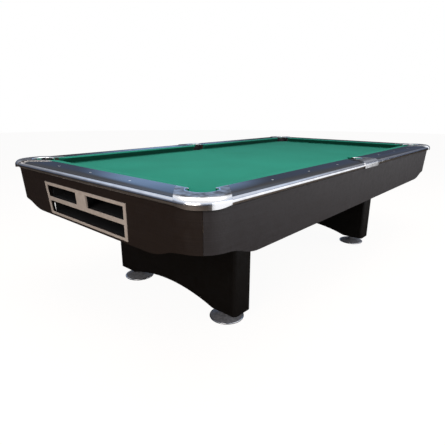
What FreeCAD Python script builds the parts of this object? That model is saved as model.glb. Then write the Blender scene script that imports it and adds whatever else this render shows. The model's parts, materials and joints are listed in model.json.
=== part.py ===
import FreeCAD, Part
import os
import re

import Sketcher

# Nine-foot pocket billiard table. Millimetres, +Z up. The origin is on the floor under the
# middle of the bed. +X runs along the bed towards the head end, and the ball return is at the
# foot end, -X. The left side is +Y and the right side is -Y.

# Driving sizes: alias, value, meaning.
SIZES = [
    ("play_length", 2540.0, "playing area, nose to nose, along X"),
    ("play_width", 1270.0, "playing area, nose to nose, along Y"),
    ("rail_top", 840.0, "height of the rail caps' top face"),
    ("bed_drop", 41.0, "rail top down to the cloth"),
    ("cloth_thick", 1.0, "bed cloth and cushion cloth"),
    ("slate_thick", 29.0, "slate slabs"),
    ("slate_out", 100.0, "slate edge, outwards from the cushion nose"),
    ("slate_gap", 0.2, "joint between two slates"),
    ("gap", 0.3, "clearance between neighbouring pieces"),
    # rails, all measured outwards from the cushion nose
    ("feather", 47.0, "line where the cushion cloth ends and the rail cap begins"),
    ("rail_edge", 171.0, "outer face of the rail wood and cap"),
    ("outer_edge", 187.0, "outermost line of the edge trim"),
    ("sight_line", 112.0, "row of sights"),
    ("cap_thick", 10.0, "rail cap board"),
    ("cap_fall", 7.0, "fall of the cap's top towards its outer edge"),
    ("cap_slope", 22.0, "width of the cap's sloped edge"),
    ("trim_drop", 8.0, "top of the trim below the rail top"),
    ("trim_height", 32.0, "height of the trim"),
    ("trim_curve", 16.5, "radius of the trim's bulge"),
    ("trim_foot", 5.0, "thickness of the trim at its lower edge"),
    ("sight_radius", 5.5, "sight discs"),
    ("sight_thick", 3.2, "sight discs"),
    ("nose_height", 36.5, "cushion nose above the cloth"),
    ("rubber_depth", 31.0, "cushion rubber, nose to rail wood"),
    ("rubber_heel", 8.0, "lower corner of the rubber above the cloth"),
    ("cloth_tuck", 45.0, "end of the cushion cloth under the rail"),
    ("facing_gap", 0.2, "between rubber and cloth"),
    # pockets
    ("corner_mouth", 121.6, "corner pocket, nose tip to nose tip"),
    ("corner_facing", 41.0, "turn of the corner facing from the rail, degrees"),
    ("corner_back", 36.0, "corner pocket centre beyond both nose lines"),
    ("corner_radius", 62.0, "corner pocket hole"),
    ("side_mouth", 133.0, "side pocket, nose tip to nose tip"),
    ("side_facing", 14.0, "lean of the side facing from straight out, degrees"),
    ("side_back", 62.0, "side pocket centre beyond the nose line"),
    ("side_radius", 56.0, "side pocket hole"),
    ("slate_lip", 2.0, "slate cut inside the pocket hole"),
    ("liner_wall", 3.0, "pocket liner"),
    ("liner_mouth", 45.0, "bore at the bottom of a liner"),
    ("liner_cone", 30.0, "height of the liner's funnel"),
    # castings
    ("casting_proud", 4.5, "casting tops above the rail top"),
    ("casting_half", 104.6, "corner casting, its diagonal to its cut ends"),
    ("casting_corner", 140.0, "plan radius of a corner casting"),
    ("casting_bulge", 3.0, "castings outside the trim"),
    ("casting_round", 28.0, "radius along the castings' outer top edge"),
    ("side_inner", 60.0, "half width of a side casting at the cushion"),
    ("side_outer", 98.0, "half width of a side casting at the cap's outer face"),
    # rail bolts
    ("bolt_radius", 5.0, "rail bolt shank"),
    ("bolt_head", 9.0, "rail bolt head and washer"),
    ("bolt_head_height", 8.0, "rail bolt head"),
    ("bolt_line", 72.0, "rail bolts, outwards from the nose"),
    ("bolt_depth", 26.0, "thread in the rail wood"),
    # aprons
    ("apron_top_out", 176.0, "apron face at its top, outwards from the nose"),
    ("apron_lean", 14.0, "apron face at the bottom, inside its top"),
    ("apron_bottom", 575.0, "height of the apron's lower edge"),
    ("apron_wall", 18.0, "apron panel"),
    ("apron_corner", 147.0, "plan radius of an apron corner at the bottom"),
    ("corner_rise", 45.0, "lower edge of the corners above the rest"),
    ("rise_run", 220.0, "length of the curve that lifts the lower edge"),
    ("side_rise_end", 112.0, "end of that curve from the apron's end, long sides"),
    ("end_rise_end", 100.0, "end of that curve from the apron's side, short ends"),
    ("seam", 1.0, "joint between two aprons"),
    # ball return
    ("bezel_top", 761.0, "height of the bezel's top edge"),
    ("bezel_bottom", 588.4, "height of the bezel's lower edge"),
    ("bezel_half_top", 369.0, "half width of the bezel at the top"),
    ("bezel_half_bottom", 352.0, "half width of the bezel at the bottom"),
    ("bezel_side", 19.0, "width of the bezel's sides"),
    ("bezel_bar_top", 15.5, "bezel's top bar"),
    ("bezel_bar_bottom", 12.6, "bezel's lower bar"),
    ("bezel_thick", 4.0, "bezel plate"),
    ("mid_bar_low", 662.5, "lower edge of the bezel's middle bar"),
    ("mid_bar_high", 684.5, "upper edge of the bezel's middle bar"),
    ("bezel_lap", 8.0, "bezel outside the apron's opening"),
    ("divider_half", 45.0, "half width of the block between the upper windows"),
    ("divider_depth", 9.0, "thickness of that block"),
    ("divider_proud", 1.5, "block in front of the bezel"),
    ("tray_floor", 598.0, "top of the ball tray's floor"),
    ("tray_wall", 8.0, "ball tray boards"),
    ("tray_half", 348.0, "half length of the ball trays"),
    ("tray_lip", 4.0, "lip at the open ends of the ball tray"),
    ("shelf_thick", 16.0, "floor of the upper tray"),
    ("shelf_drop", 2.0, "floor of the upper tray below the window's sill"),
    # ball runs
    ("run_out", 49.0, "middle of a ball run, outside the nose line"),
    ("run_half", 60.0, "half of the run's inner width"),
    ("run_wall", 6.0, "run walls and floor"),
    ("run_depth", 51.0, "run walls above the floor"),
    ("run_level", 649.5, "run floor at the middle of the table"),
    ("run_slope", 0.8, "fall of the runs towards the foot, degrees"),
    ("run_short", 46.0, "run's end inside the apron"),
    ("gully_width", 118.0, "width of a cross gully"),
    ("gully_start", 628.5, "gully floor beside the run"),
    ("gully_fall", 24.0, "drop of a gully to the tray"),
    ("hanger_near", 370.0, "middle run hangers and run joints, from the middle of the table"),
    ("hanger_far", 1087.0, "outer run hangers, from the middle of the table"),
    ("hanger_width", 30.0, "run hangers, along X"),
    ("hanger_thick", 4.0, "run hangers"),
    ("hanger_leg", 60.0, "run hangers' leg on the side beam"),
    ("hanger_slack", 0.1, "hanger below the run's floor"),
    # frame
    ("beam_half", 1235.0, "half length of the side beams"),
    ("beam_back", 108.0, "outer face of the side beams and pedestals, inside the nose line"),
    ("beam_wide", 47.0, "side beams"),
    ("frame_bottom", 600.0, "underside of the side beams"),
    ("cross_tall", 120.0, "cross beams"),
    ("cross_wide", 45.0, "cross beams"),
    # pedestals
    ("pedestal_x", 857.0, "middle of a pedestal"),
    ("pedestal_deep", 140.0, "pedestal, along X"),
    ("pedestal_bottom", 60.0, "underside of a pedestal"),
    ("post_wide", 40.0, "end posts, along Y"),
    ("post_round", 22.0, "outer edges of the end posts"),
    ("panel_thick", 20.0, "arched panels"),
    ("top_board", 25.0, "board on top of a pedestal"),
    ("arch_back", 48.0, "end of the arch, inside a leveller's middle"),
    ("arch_rise", 59.0, "rise of the arch"),
    # levellers
    ("foot_in", 117.0, "middle of a leveller, inside the pedestal's end"),
    ("foot_radius", 98.0, "leveller base"),
    ("foot_rim", 9.0, "rim of the base"),
    ("foot_hub", 20.0, "radius of the base's hub"),
    ("foot_height", 40.0, "height of the base's hub"),
    ("socket_floor", 13.0, "bottom of the hub's socket"),
    ("stem_radius", 10.0, "leveller stem"),
    ("stem_top", 150.0, "height of the stem's top end"),
    ("stem_fit", 0.05, "running fit of a stem, radial"),
    ("hex_radius", 17.3, "stem's hexagon over its corners"),
    ("hex_height", 12.0, "stem's hexagon"),
    ("nut_block", 20.0, "thickness of a leveller nut block"),
    # lines that follow the width of the playing area
    ("run_y", "=play_width / 2 + run_out", "middle of a ball run"),
    ("beam_out", "=play_width / 2 - beam_back", "outer face of the side beams and pedestals"),
    ("foot_y", "=beam_out - foot_in", "middle of a leveller"),
    ("arch_half", "=foot_y - arch_back", "half span of the arch"),
]

# Levels and lines worked out from those sizes, each as a formula.
HALF_LENGTH = "(play_length / 2)"
HALF_WIDTH = "(play_width / 2)"
BED = "(rail_top - bed_drop)"
SLATE_TOP = f"({BED} - cloth_thick)"
SLATE_BOTTOM = f"({SLATE_TOP} - slate_thick)"
CAP_BOTTOM = "(rail_top - cap_thick)"
TRIM_BOTTOM = "(rail_top - trim_drop - trim_height)"
CASTING_TOP = "(rail_top + casting_proud)"
NOSE = f"({BED} + nose_height)"
CORNER_TIP = "(corner_mouth / sqrt(2))"
CORNER_HOLE = "(corner_radius + liner_wall + gap)"
SIDE_HOLE = "(side_radius + liner_wall + gap)"
CASTING_CUT = "(casting_half * sqrt(2))"
APRON_TALL = f"({BED} - apron_bottom)"
OUTER = "(outer_edge + casting_bulge)"
FAR = "(2 * outer_edge)"

doc = FreeCAD.newDocument("pool_table")
dims = doc.addObject("Spreadsheet::Sheet", "dims")
sub_parts = []


def fill_sheet():
    for row, (alias, value, meaning) in enumerate(SIZES, start=1):
        dims.set(f"A{row}", meaning)
        dims.set(f"B{row}", str(value))
        dims.setAlias(f"B{row}", alias)
    doc.recompute()


def full(formula):
    """The formula with every alias read from the sheet."""
    aliases = {alias for alias, _, _ in SIZES}
    return re.sub(r"[a-z_]+", lambda m: "dims." + m[0] if m[0] in aliases else m[0], str(formula))


def number(formula):
    return float(dims.evalExpression(full(formula)))


def bind(item, name, formula):
    item.setExpression(name, full(formula))


def place(item, x="0", y="0", z="0", turn=0, axis=(0, 0, 1)):
    """Put an object at a bound position, turned about an axis by a fixed angle."""
    rotation = FreeCAD.Rotation(FreeCAD.Vector(*axis), turn)
    item.Placement = FreeCAD.Placement(FreeCAD.Vector(number(x), number(y), number(z)), rotation)
    bind(item, "Placement.Base.x", x)
    bind(item, "Placement.Base.y", y)
    bind(item, "Placement.Base.z", z)


def node(item, label):
    """Name a finished sub-part, which is then written to its own file."""
    item.Label = label
    sub_parts.append(item)
    return item


def group(items, label):
    """Join like pieces, still separate solids, in one sub-part."""
    compound = doc.addObject("Part::Compound", label)
    compound.Links = items
    return node(compound, label)


def new_body(name, **where):
    body = doc.addObject("PartDesign::Body", name)
    place(body, **where)
    return body


def new_sketch(body, plane, offset="0"):
    sketch = body.newObject("Sketcher::SketchObject", body.Name + "_sketch")
    origin_plane = next(f for f in body.Origin.OriginFeatures if f.Role == plane + "_Plane")
    sketch.AttachmentSupport = [(origin_plane, "")]
    sketch.MapMode = "FlatFace"
    bind(sketch, "AttachmentOffset.Base.z", offset)
    return sketch


def fix_point(sketch, edge, end, x, y):
    for kind, formula in (("DistanceX", x), ("DistanceY", y)):
        rule = Sketcher.Constraint(kind, -1, 1, edge, end, number(formula))
        bind(sketch, f"Constraints[{sketch.addConstraint(rule)}]", formula)


def arc_through(start, end, radius, side):
    """Arc from start to end. It bulges to the right of the chord for side 1, left for -1."""
    chord = end - start
    half = chord.Length / 2
    sagitta = radius - (radius ** 2 - half ** 2) ** 0.5
    right = FreeCAD.Vector(chord.y, -chord.x, 0).normalize()
    middle = (start + end) / 2 + right * (side * sagitta)
    return Part.Arc(start, middle, end)


def outline(sketch, points):
    """Closed outline. A point is (x, y), or (x, y, radius, side) where an arc follows it."""
    places = [FreeCAD.Vector(number(p[0]), number(p[1]), 0) for p in points]
    edges = []
    for index, point in enumerate(points):
        start = places[index]
        end = places[(index + 1) % len(points)]
        if len(point) == 2:
            edge = sketch.addGeometry(Part.LineSegment(start, end), False)
            edges.append((edge, 1, 2))
            continue
        radius, side = point[2], point[3]
        edge = sketch.addGeometry(arc_through(start, end, number(radius), side), False)
        begins_at_start = sketch.getPoint(edge, 1).distanceToPoint(start) < 1e-6
        edges.append((edge, 1, 2) if begins_at_start else (edge, 2, 1))
        rule = Sketcher.Constraint("Radius", edge, number(radius))
        bind(sketch, f"Constraints[{sketch.addConstraint(rule)}]", radius)
    for index, (edge, first, last) in enumerate(edges):
        following = edges[(index + 1) % len(edges)]
        sketch.addConstraint(Sketcher.Constraint("Coincident", edge, last, following[0], following[1]))
        fix_point(sketch, edge, first, points[index][0], points[index][1])


def circle(sketch, x, y, radius):
    middle = FreeCAD.Vector(number(x), number(y), 0)
    edge = sketch.addGeometry(Part.Circle(middle, FreeCAD.Vector(0, 0, 1), number(radius)), False)
    rule = Sketcher.Constraint("Radius", edge, number(radius))
    bind(sketch, f"Constraints[{sketch.addConstraint(rule)}]", radius)
    fix_point(sketch, edge, 3, x, y)


def pad(body, sketch, length, both_ways=False, backwards=False):
    feature = body.newObject("PartDesign::Pad", body.Name + "_pad")
    feature.Profile = sketch
    bind(feature, "Length", length)
    feature.SideType = "Symmetric" if both_ways else "One side"
    feature.Reversed = backwards
    return feature


def cut_through(body, sketch):
    feature = body.newObject("PartDesign::Pocket", body.Name + "_cut")
    feature.Profile = sketch
    feature.Type = "ThroughAll"
    feature.SideType = "Symmetric"
    return feature


def cut_up(body, sketch, depth):
    """Cut from the sketch's plane upwards."""
    feature = body.newObject("PartDesign::Pocket", body.Name + "_cut")
    feature.Profile = sketch
    bind(feature, "Length", depth)
    feature.Reversed = True
    return feature


def round_edges(body, picks, radius):
    """Fillet the edges of the body's last feature that picks() accepts."""
    doc.recompute()
    last = body.Tip
    names = [f"Edge{i}" for i, edge in enumerate(last.Shape.Edges, start=1) if picks(edge)]
    fillet = body.newObject("PartDesign::Fillet", body.Name + "_fillet")
    fillet.Base = (last, names)
    bind(fillet, "Radius", radius)
    return fillet


def board(name, low, size):
    """Plain board from its low corner and its size."""
    box = doc.addObject("Part::Box", name)
    for prop, formula in zip(("Length", "Width", "Height"), size):
        bind(box, prop, formula)
    place(box, *low)
    return box


# ---------------------------------------------------------------- slates and bed cloth
SLATE_HALF = f"({HALF_LENGTH} + slate_out)"
SLATE_SIDE = f"({HALF_WIDTH} + slate_out)"
CORNERS = [(sx, sy) for sx in (-1, 1) for sy in (-1, 1)]


SIDE_RAIL = f"({HALF_LENGTH} - {CORNER_TIP} - side_mouth / 2)"
SIDE_BOLTS = [f"(side_mouth / 2 + {SIDE_RAIL} * {share})" for share in ("1 / 6", "3 / 6", "5 / 6")]
END_BOLTS = [f"({step} * ({HALF_WIDTH} - {CORNER_TIP}) * 2 / 3)" for step in (-1, 0, 1)]


def bolt_places():
    """Every rail bolt: along X, along Y."""
    places = [(f"{sx} * {u}", f"{sy} * ({HALF_WIDTH} + bolt_line)")
              for sx, sy in CORNERS for u in SIDE_BOLTS]
    places += [(f"{sx} * ({HALF_LENGTH} + bolt_line)", u) for sx in (-1, 1) for u in END_BOLTS]
    return places


def corner_notch(sx, sy):
    """Slot from a corner pocket's middle out through the slate's corner."""
    middle = (f"({HALF_LENGTH} + corner_back)", f"({HALF_WIDTH} + corner_back)")
    half = f"(({CORNER_HOLE} + gap) / sqrt(2))"
    reach = "(2 * slate_out)"
    steps = ((f"-{half}", half), (f"{reach} - {half}", f"{reach} + {half}"),
             (f"{reach} + {half}", f"{reach} - {half}"), (half, f"-{half}"))
    return [(f"{sx} * ({middle[0]} + {a})", f"{sy} * ({middle[1]} + {b})") for a, b in steps]


def bed_layer(label, x_low, x_high, bottom, thick, corners, middle, hole_radius):
    body = new_body(label)
    base = new_sketch(body, "XY", bottom)
    outline(base, [(x_low, f"-{SLATE_SIDE}"), (x_high, f"-{SLATE_SIDE}"),
                   (x_high, SLATE_SIDE), (x_low, SLATE_SIDE)])
    pad(body, base, thick)
    for sx, sy in corners:
        hole = new_sketch(body, "XY")
        circle(hole, f"{sx} * ({HALF_LENGTH} + corner_back)", f"{sy} * ({HALF_WIDTH} + corner_back)",
               "corner_radius - slate_lip")
        cut_through(body, hole)
        notch = new_sketch(body, "XY")
        outline(notch, corner_notch(sx, sy))
        cut_through(body, notch)
    if middle:
        for sy in (-1, 1):
            hole = new_sketch(body, "XY")
            circle(hole, "0", f"{sy} * ({HALF_WIDTH} + side_back)", "side_radius - slate_lip")
            cut_through(body, hole)
            notch = new_sketch(body, "XY")
            near, far = f"{sy} * ({HALF_WIDTH} + side_back)", f"{sy} * ({SLATE_SIDE} + slate_out)"
            half = f"({SIDE_HOLE} + gap)"
            outline(notch, [(f"-{half}", near), (half, near), (half, far), (f"-{half}", far)])
            cut_through(body, notch)
    holes = new_sketch(body, "XY")
    for x, y in bolt_places():
        if number(x_low) < number(x) < number(x_high):
            circle(holes, x, y, hole_radius)
    cut_through(body, holes)
    return node(body, label)


def slates_and_cloth():
    joint = f"({SLATE_HALF} / 3)"
    spans = {"slate_foot": (f"-{SLATE_HALF}", f"-{joint} - slate_gap / 2", -1),
             "slate_middle": (f"-{joint} + slate_gap / 2", f"{joint} - slate_gap / 2", 0),
             "slate_head": (f"{joint} + slate_gap / 2", SLATE_HALF, 1)}
    for label, (low, high, end) in spans.items():
        corners = [c for c in CORNERS if c[0] == end]
        bed_layer(label, low, high, SLATE_BOTTOM, "slate_thick", corners, end == 0,
                  "bolt_radius + 1")
    bed_layer("bed_cloth", f"-{SLATE_HALF}", SLATE_HALF, SLATE_TOP, "cloth_thick", CORNERS, True,
              "bolt_radius + 2")


# ---------------------------------------------------------------- rails
# A rail is drawn with u along the rail from the table's middle line and v outwards from the
# nose. The four side rails are halves (ends: side pocket and corner); the end rails are whole.
RAILS = {
    "left_head": dict(half=HALF_LENGTH, hands=(1,), y=HALF_WIDTH, turn=0),
    "left_foot": dict(half=HALF_LENGTH, hands=(-1,), y=HALF_WIDTH, turn=0),
    "right_foot": dict(half=HALF_LENGTH, hands=(1,), y=f"-{HALF_WIDTH}", turn=180),
    "right_head": dict(half=HALF_LENGTH, hands=(-1,), y=f"-{HALF_WIDTH}", turn=180),
    "head": dict(half=HALF_WIDTH, hands=(-1, 1), x=HALF_LENGTH, turn=-90),
    "foot": dict(half=HALF_WIDTH, hands=(-1, 1), x=f"-{HALF_LENGTH}", turn=90),
}


def rail_body(name, rail, section):
    """Pad a section (v, z) along the whole rail, past both ends."""
    body = new_body(name, x=rail.get("x", "0"), y=rail.get("y", "0"), turn=rail["turn"])
    sketch = new_sketch(body, "YZ")
    outline(sketch, section)
    whole = len(rail["hands"]) == 2
    length = f"{rail['half']} + {FAR}"
    pad(body, sketch, f"2 * ({length})" if whole else length, both_ways=whole,
        backwards=rail["hands"] == (-1,))
    return body


def cut_ends(body, rail, corner_line, side_line):
    """Cut the corner end, and the side pocket end where there is one, along lines (u, v)."""
    for hand in rail["hands"]:
        sketch = new_sketch(body, "XY")
        far_u = f"({rail['half']} + 2 * {FAR})"
        line = [(f"{hand} * {u}", v) for u, v in corner_line(rail["half"])]
        outline(sketch, line + [(f"{hand} * {far_u}", FAR), (f"{hand} * {far_u}", "-feather")])
        cut_through(body, sketch)
        if len(rail["hands"]) == 1:
            sketch = new_sketch(body, "XY")
            line = [(f"{hand} * {u}", v) for u, v in side_line()]
            outline(sketch, line + [(f"-{hand} * side_mouth", FAR),
                                    (f"-{hand} * side_mouth", "-feather")])
            cut_through(body, sketch)


def facing_at(half, v):
    return f"({half} - {CORNER_TIP} + ({v}) / tan(corner_facing))"


def wood_corner_line(half):
    """Facing as far as the feather line, then out to where the casting's corner begins to bend."""
    turn = facing_at(half, "feather")
    outer = f"({half} + {OUTER} - casting_corner)"
    return [(facing_at(half, "-feather"), "-feather"), (turn, "feather"), (outer, "rail_edge"),
            (outer, FAR)]


def wood_side_line():
    edge = "(side_mouth / 2 - {} * tan(side_facing))"
    return [(edge.format("(-feather)"), "-feather"), (edge.format("feather"), "feather"),
            (edge.format("feather"), FAR)]


def cap_corner_line(half):
    """Where the cap meets the corner casting: parallel to the corner's diagonal."""
    return [(f"({half} + ({v}) - {CASTING_CUT} - gap)", v) for v in ("-feather", FAR)]


def side_casting_edge(v):
    slope = "(side_outer - side_inner) / (rail_edge - feather)"
    return f"(side_inner + (({v}) - feather) * {slope})"


def cap_side_line():
    return [(f"({side_casting_edge(v)} + gap)", v) for v in ("-feather", FAR)]


def rail_wood(name, rail):
    face = "rubber_depth"
    step = "(feather - gap)"
    top = "(rail_top - cloth_thick - facing_gap)"
    recess = f"({BED} + cloth_thick + facing_gap)"
    body = rail_body("rail_" + name, rail, [
        (face, recess), ("(cloth_tuck + gap)", recess), ("(cloth_tuck + gap)", BED),
        ("rail_edge", BED), ("rail_edge", CAP_BOTTOM), (step, CAP_BOTTOM), (step, top), (face, top)])
    cut_ends(body, rail, wood_corner_line, wood_side_line)
    holes = new_sketch(body, "XY")
    for hand in rail["hands"]:
        circle(holes, f"{hand} * ({rail['half']} + corner_back)", "corner_back", CORNER_HOLE)
    if len(rail["hands"]) == 1:
        circle(holes, "0", "side_back", SIDE_HOLE)
    cut_through(body, holes)
    sockets = new_sketch(body, "XY", BED)
    for u in bolts_along(rail):
        circle(sockets, u, "bolt_line", "bolt_radius + gap")
    cut_up(body, sockets, "bolt_depth + gap")
    node(body, "rail_" + name)


def bolts_along(rail):
    if len(rail["hands"]) == 2:
        return END_BOLTS
    return [f"{rail['hands'][0]} * {u}" for u in SIDE_BOLTS]


def sights_along(rail):
    if len(rail["hands"]) == 2:
        return [f"{step} * play_width / 4" for step in (-1, 0, 1)]
    return [f"{rail['hands'][0]} * play_length * {step} / 8" for step in (1, 2, 3)]


def rail_cap(name, rail):
    low, inner = CAP_BOTTOM, "feather"
    body = rail_body("cap_" + name, rail, [
        (inner, low), ("rail_edge", low), ("rail_edge", "rail_top - cap_fall"),
        ("rail_edge - cap_slope", "rail_top"), (inner, "rail_top")])
    cut_ends(body, rail, cap_corner_line, cap_side_line)
    holes = new_sketch(body, "XY", "rail_top - sight_thick + gap")
    for u in sights_along(rail):
        circle(holes, u, "sight_line", "sight_radius + gap / 2")
    cut_up(body, holes, "sight_thick")
    node(body, "rail_cap_" + name)


def cushion_rubber(name, rail):
    skin = "(cloth_thick + facing_gap)"
    top = f"(rail_top - {skin})"
    body = rail_body("rubber_" + name, rail, [
        (f"{skin} + 0.2", NOSE), (f"2.2 + {skin}", f"{NOSE} - 2.2"),
        ("rubber_depth", f"{BED} + rubber_heel"), ("rubber_depth", top),
        (f"2.6 + {skin}", f"{NOSE} + 1.2")])
    cut_ends(body, rail, wood_corner_line, wood_side_line)
    return body


def cushion_cloth(name, rail):
    """Cloth from the feather line over the nose, down the face and under the rail."""
    under = BED
    inside = f"({under} + cloth_thick)"
    heel = f"({BED} + rubber_heel)"
    end = "feather"
    body = rail_body("cloth_" + name, rail, [
        (end, "rail_top"), ("rubber_depth", "rail_top"), ("2.6", f"{NOSE} + 2.5"), ("0", NOSE),
        ("2.2", f"{NOSE} - 3.2"), ("rubber_depth - 1.6", f"{heel} - 1"),
        ("rubber_depth - 2.4", under), ("cloth_tuck", under), ("cloth_tuck", inside),
        ("rubber_depth - 1.4", inside), ("rubber_depth - 0.6", f"{heel} - 0.4"),
        ("3.1", f"{NOSE} - 2.3"), ("1.1", NOSE), ("3.1", f"{NOSE} + 1.5"),
        ("rubber_depth", "rail_top - cloth_thick"), (end, "rail_top - cloth_thick")])
    cut_ends(body, rail, wood_corner_line, wood_side_line)
    node(body, "cushion_cloth_" + name)


def edge_trim(name, rail):
    back = "rail_edge"
    body = rail_body("trim_" + name, rail, [
        (back, TRIM_BOTTOM), (f"{back} + trim_foot", TRIM_BOTTOM, "trim_curve", 1),
        (back, f"{TRIM_BOTTOM} + trim_height")])
    cut_ends(body, rail, cap_corner_line, cap_side_line)
    return body


def rails():
    for name, rail in RAILS.items():
        rail_wood(name, rail)
    for name, rail in RAILS.items():
        rail_cap(name, rail)
    for name, rail in RAILS.items():
        cushion_cloth(name, rail)
    group([cushion_rubber(name, rail) for name, rail in RAILS.items()], "cushion_rubbers")
    sides = [name for name in RAILS if "_" in name]
    ends = [name for name in RAILS if "_" not in name]
    group([edge_trim(name, RAILS[name]) for name in sides], "side_trims")
    group([edge_trim(name, RAILS[name]) for name in ends], "end_trims")


def sights():
    items = []
    for name, rail in RAILS.items():
        for index, u in enumerate(sights_along(rail)):
            body = new_body(f"sight_{name}_{index}", x=rail.get("x", "0"), y=rail.get("y", "0"),
                            turn=rail["turn"])
            disc = new_sketch(body, "XY", "rail_top - sight_thick + gap")
            circle(disc, u, "sight_line", "sight_radius")
            pad(body, disc, "sight_thick")
            items.append(body)
    group(items, "rail_sights")


def rail_bolts():
    items = []
    for index, (x, y) in enumerate(bolt_places()):
        body = new_body(f"rail_bolt_{index}")
        head = new_sketch(body, "XY", f"{SLATE_BOTTOM} - bolt_head_height")
        circle(head, x, y, "bolt_head")
        pad(body, head, "bolt_head_height")
        shank = new_sketch(body, "XY", SLATE_BOTTOM)
        circle(shank, x, y, "bolt_radius")
        pad(body, shank, "slate_thick + cloth_thick + bolt_depth")
        items.append(body)
    group(items, "rail_bolts")


# ---------------------------------------------------------------- castings and liners
# A corner piece is drawn from the crossing of the two nose lines and is alike about its
# diagonal, so a quarter turn puts it on each corner.
CORNER_PLACES = {
    "head_left": dict(x=HALF_LENGTH, y=HALF_WIDTH, turn=0),
    "foot_left": dict(x=f"-{HALF_LENGTH}", y=HALF_WIDTH, turn=90),
    "foot_right": dict(x=f"-{HALF_LENGTH}", y=f"-{HALF_WIDTH}", turn=180),
    "head_right": dict(x=HALF_LENGTH, y=f"-{HALF_WIDTH}", turn=270),
}
SIDE_PLACES = {"left": dict(y=HALF_WIDTH, turn=0), "right": dict(y=f"-{HALF_WIDTH}", turn=180)}


def near(value, formula):
    return abs(value - number(formula)) < 0.05


def corner_casting(name, where):
    body = new_body("casting_" + name, **where)
    edge = "(feather + gap / 2)"
    plan = new_sketch(body, "XY", TRIM_BOTTOM)
    outline(plan, [(edge, edge), (f"{edge} - {CASTING_CUT}", edge),
                   (f"{OUTER} - {CASTING_CUT}", OUTER), (OUTER, OUTER),
                   (OUTER, f"{OUTER} - {CASTING_CUT}"), (edge, f"{edge} - {CASTING_CUT}")])
    pad(body, plan, f"{CASTING_TOP} - {TRIM_BOTTOM}")

    def outer_corner(line):
        box = line.BoundBox
        return near(box.XMin, OUTER) and near(box.YMin, OUTER) and box.ZLength > 1

    round_edges(body, outer_corner, "casting_corner")
    hollow = new_sketch(body, "XY", TRIM_BOTTOM)
    inner, back = "(rail_edge + gap)", f"(-2 * {CASTING_CUT})"
    bend = f"(casting_corner - {OUTER} + {inner})"
    outline(hollow, [(back, back), (inner, back), (inner, f"{inner} - {bend}", bend, 1),
                     (f"{inner} - {bend}", inner), (back, inner)])
    cut_up(body, hollow, f"{CAP_BOTTOM} - {TRIM_BOTTOM}")
    hole = new_sketch(body, "XY")
    circle(hole, "corner_back", "corner_back", "corner_radius")
    cut_through(body, hole)

    def outer_top(line):
        box = line.BoundBox
        straight = near(box.XMin, OUTER) or near(box.YMin, OUTER)
        bend = line.Curve.TypeId == "Part::GeomCircle" and near(line.Curve.Radius, "casting_corner")
        return near(box.ZMin, CASTING_TOP) and (straight or bend)

    round_edges(body, outer_top, "casting_round")
    node(body, "corner_casting_" + name)


def side_casting(name, where):
    body = new_body("side_casting_" + name, **where)
    edge = "(feather + gap / 2)"
    half_out = side_casting_edge(OUTER)
    plan = new_sketch(body, "XY", TRIM_BOTTOM)
    outline(plan, [("-side_inner", edge), ("side_inner", edge), (half_out, OUTER),
                   (f"-{half_out}", OUTER)])
    pad(body, plan, f"{CASTING_TOP} - {TRIM_BOTTOM}")
    hollow = new_sketch(body, "XY", TRIM_BOTTOM)
    inner = "(rail_edge + gap)"
    outline(hollow, [("-side_mouth", "-feather"), ("side_mouth", "-feather"), ("side_mouth", inner),
                     ("-side_mouth", inner)])
    cut_up(body, hollow, f"{CAP_BOTTOM} - {TRIM_BOTTOM}")
    hole = new_sketch(body, "XY")
    circle(hole, "0", "side_back", "side_radius")
    cut_through(body, hole)

    def outer_top(line):
        box = line.BoundBox
        return near(box.YMin, OUTER) and near(box.ZMin, CASTING_TOP) and box.XLength > 1

    round_edges(body, outer_top, "casting_round")
    node(body, "side_casting_" + name)


def pocket_liner(name, where, back_x, back_y, radius, side_cut):
    """Round funnel under the slate with a wall up to the casting on its outward half."""
    body = new_body("liner_" + name, **where)
    wall = f"({radius} + liner_wall)"
    top = CAP_BOTTOM
    neck = f"({SLATE_BOTTOM} - gap - 4)"
    low = f"({neck} - liner_cone)"
    tube = new_sketch(body, "XY", neck)
    circle(tube, back_x, back_y, wall)
    pad(body, tube, f"{top} - {neck}")
    bore = new_sketch(body, "XY")
    circle(bore, back_x, back_y, radius)
    cut_through(body, bore)
    cut = new_sketch(body, "XY", f"{SLATE_BOTTOM} - gap")
    outline(cut, side_cut)
    cut_up(body, cut, f"{top} - {SLATE_BOTTOM} + 2 * gap")
    funnel = body.newObject("PartDesign::AdditiveCone", body.Name + "_cone")
    bind(funnel, "Radius1", "liner_mouth + liner_wall")
    bind(funnel, "Radius2", wall)
    bind(funnel, "Height", "liner_cone")
    hollow = body.newObject("PartDesign::SubtractiveCone", body.Name + "_hollow")
    bind(hollow, "Radius1", "liner_mouth")
    bind(hollow, "Radius2", radius)
    bind(hollow, "Height", "liner_cone")
    for cone in (funnel, hollow):
        bind(cone, "Placement.Base.x", back_x)
        bind(cone, "Placement.Base.y", back_y)
        bind(cone, "Placement.Base.z", low)
    return body


def castings_and_liners():
    for name, where in CORNER_PLACES.items():
        corner_casting(name, where)
    for name, where in SIDE_PLACES.items():
        side_casting(name, where)
    reach = "(3 * corner_radius)"
    middle = "corner_back"
    corner_cut = [(f"{middle} + {reach}", f"{middle} - {reach}"),
                  (f"{middle} - {reach}", f"{middle} + {reach}"),
                  (f"{middle} - 2 * {reach}", middle), (middle, f"{middle} - 2 * {reach}")]
    side_cut = [("-side_mouth", "side_back"), ("-side_mouth", "-side_mouth"),
                ("side_mouth", "-side_mouth"), ("side_mouth", "side_back")]
    group([pocket_liner(name, where, middle, middle, "corner_radius", corner_cut)
           for name, where in CORNER_PLACES.items()], "corner_pocket_liners")
    group([pocket_liner(name, where, "0", "side_back", "side_radius", side_cut)
           for name, where in SIDE_PLACES.items()], "side_pocket_liners")


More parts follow.
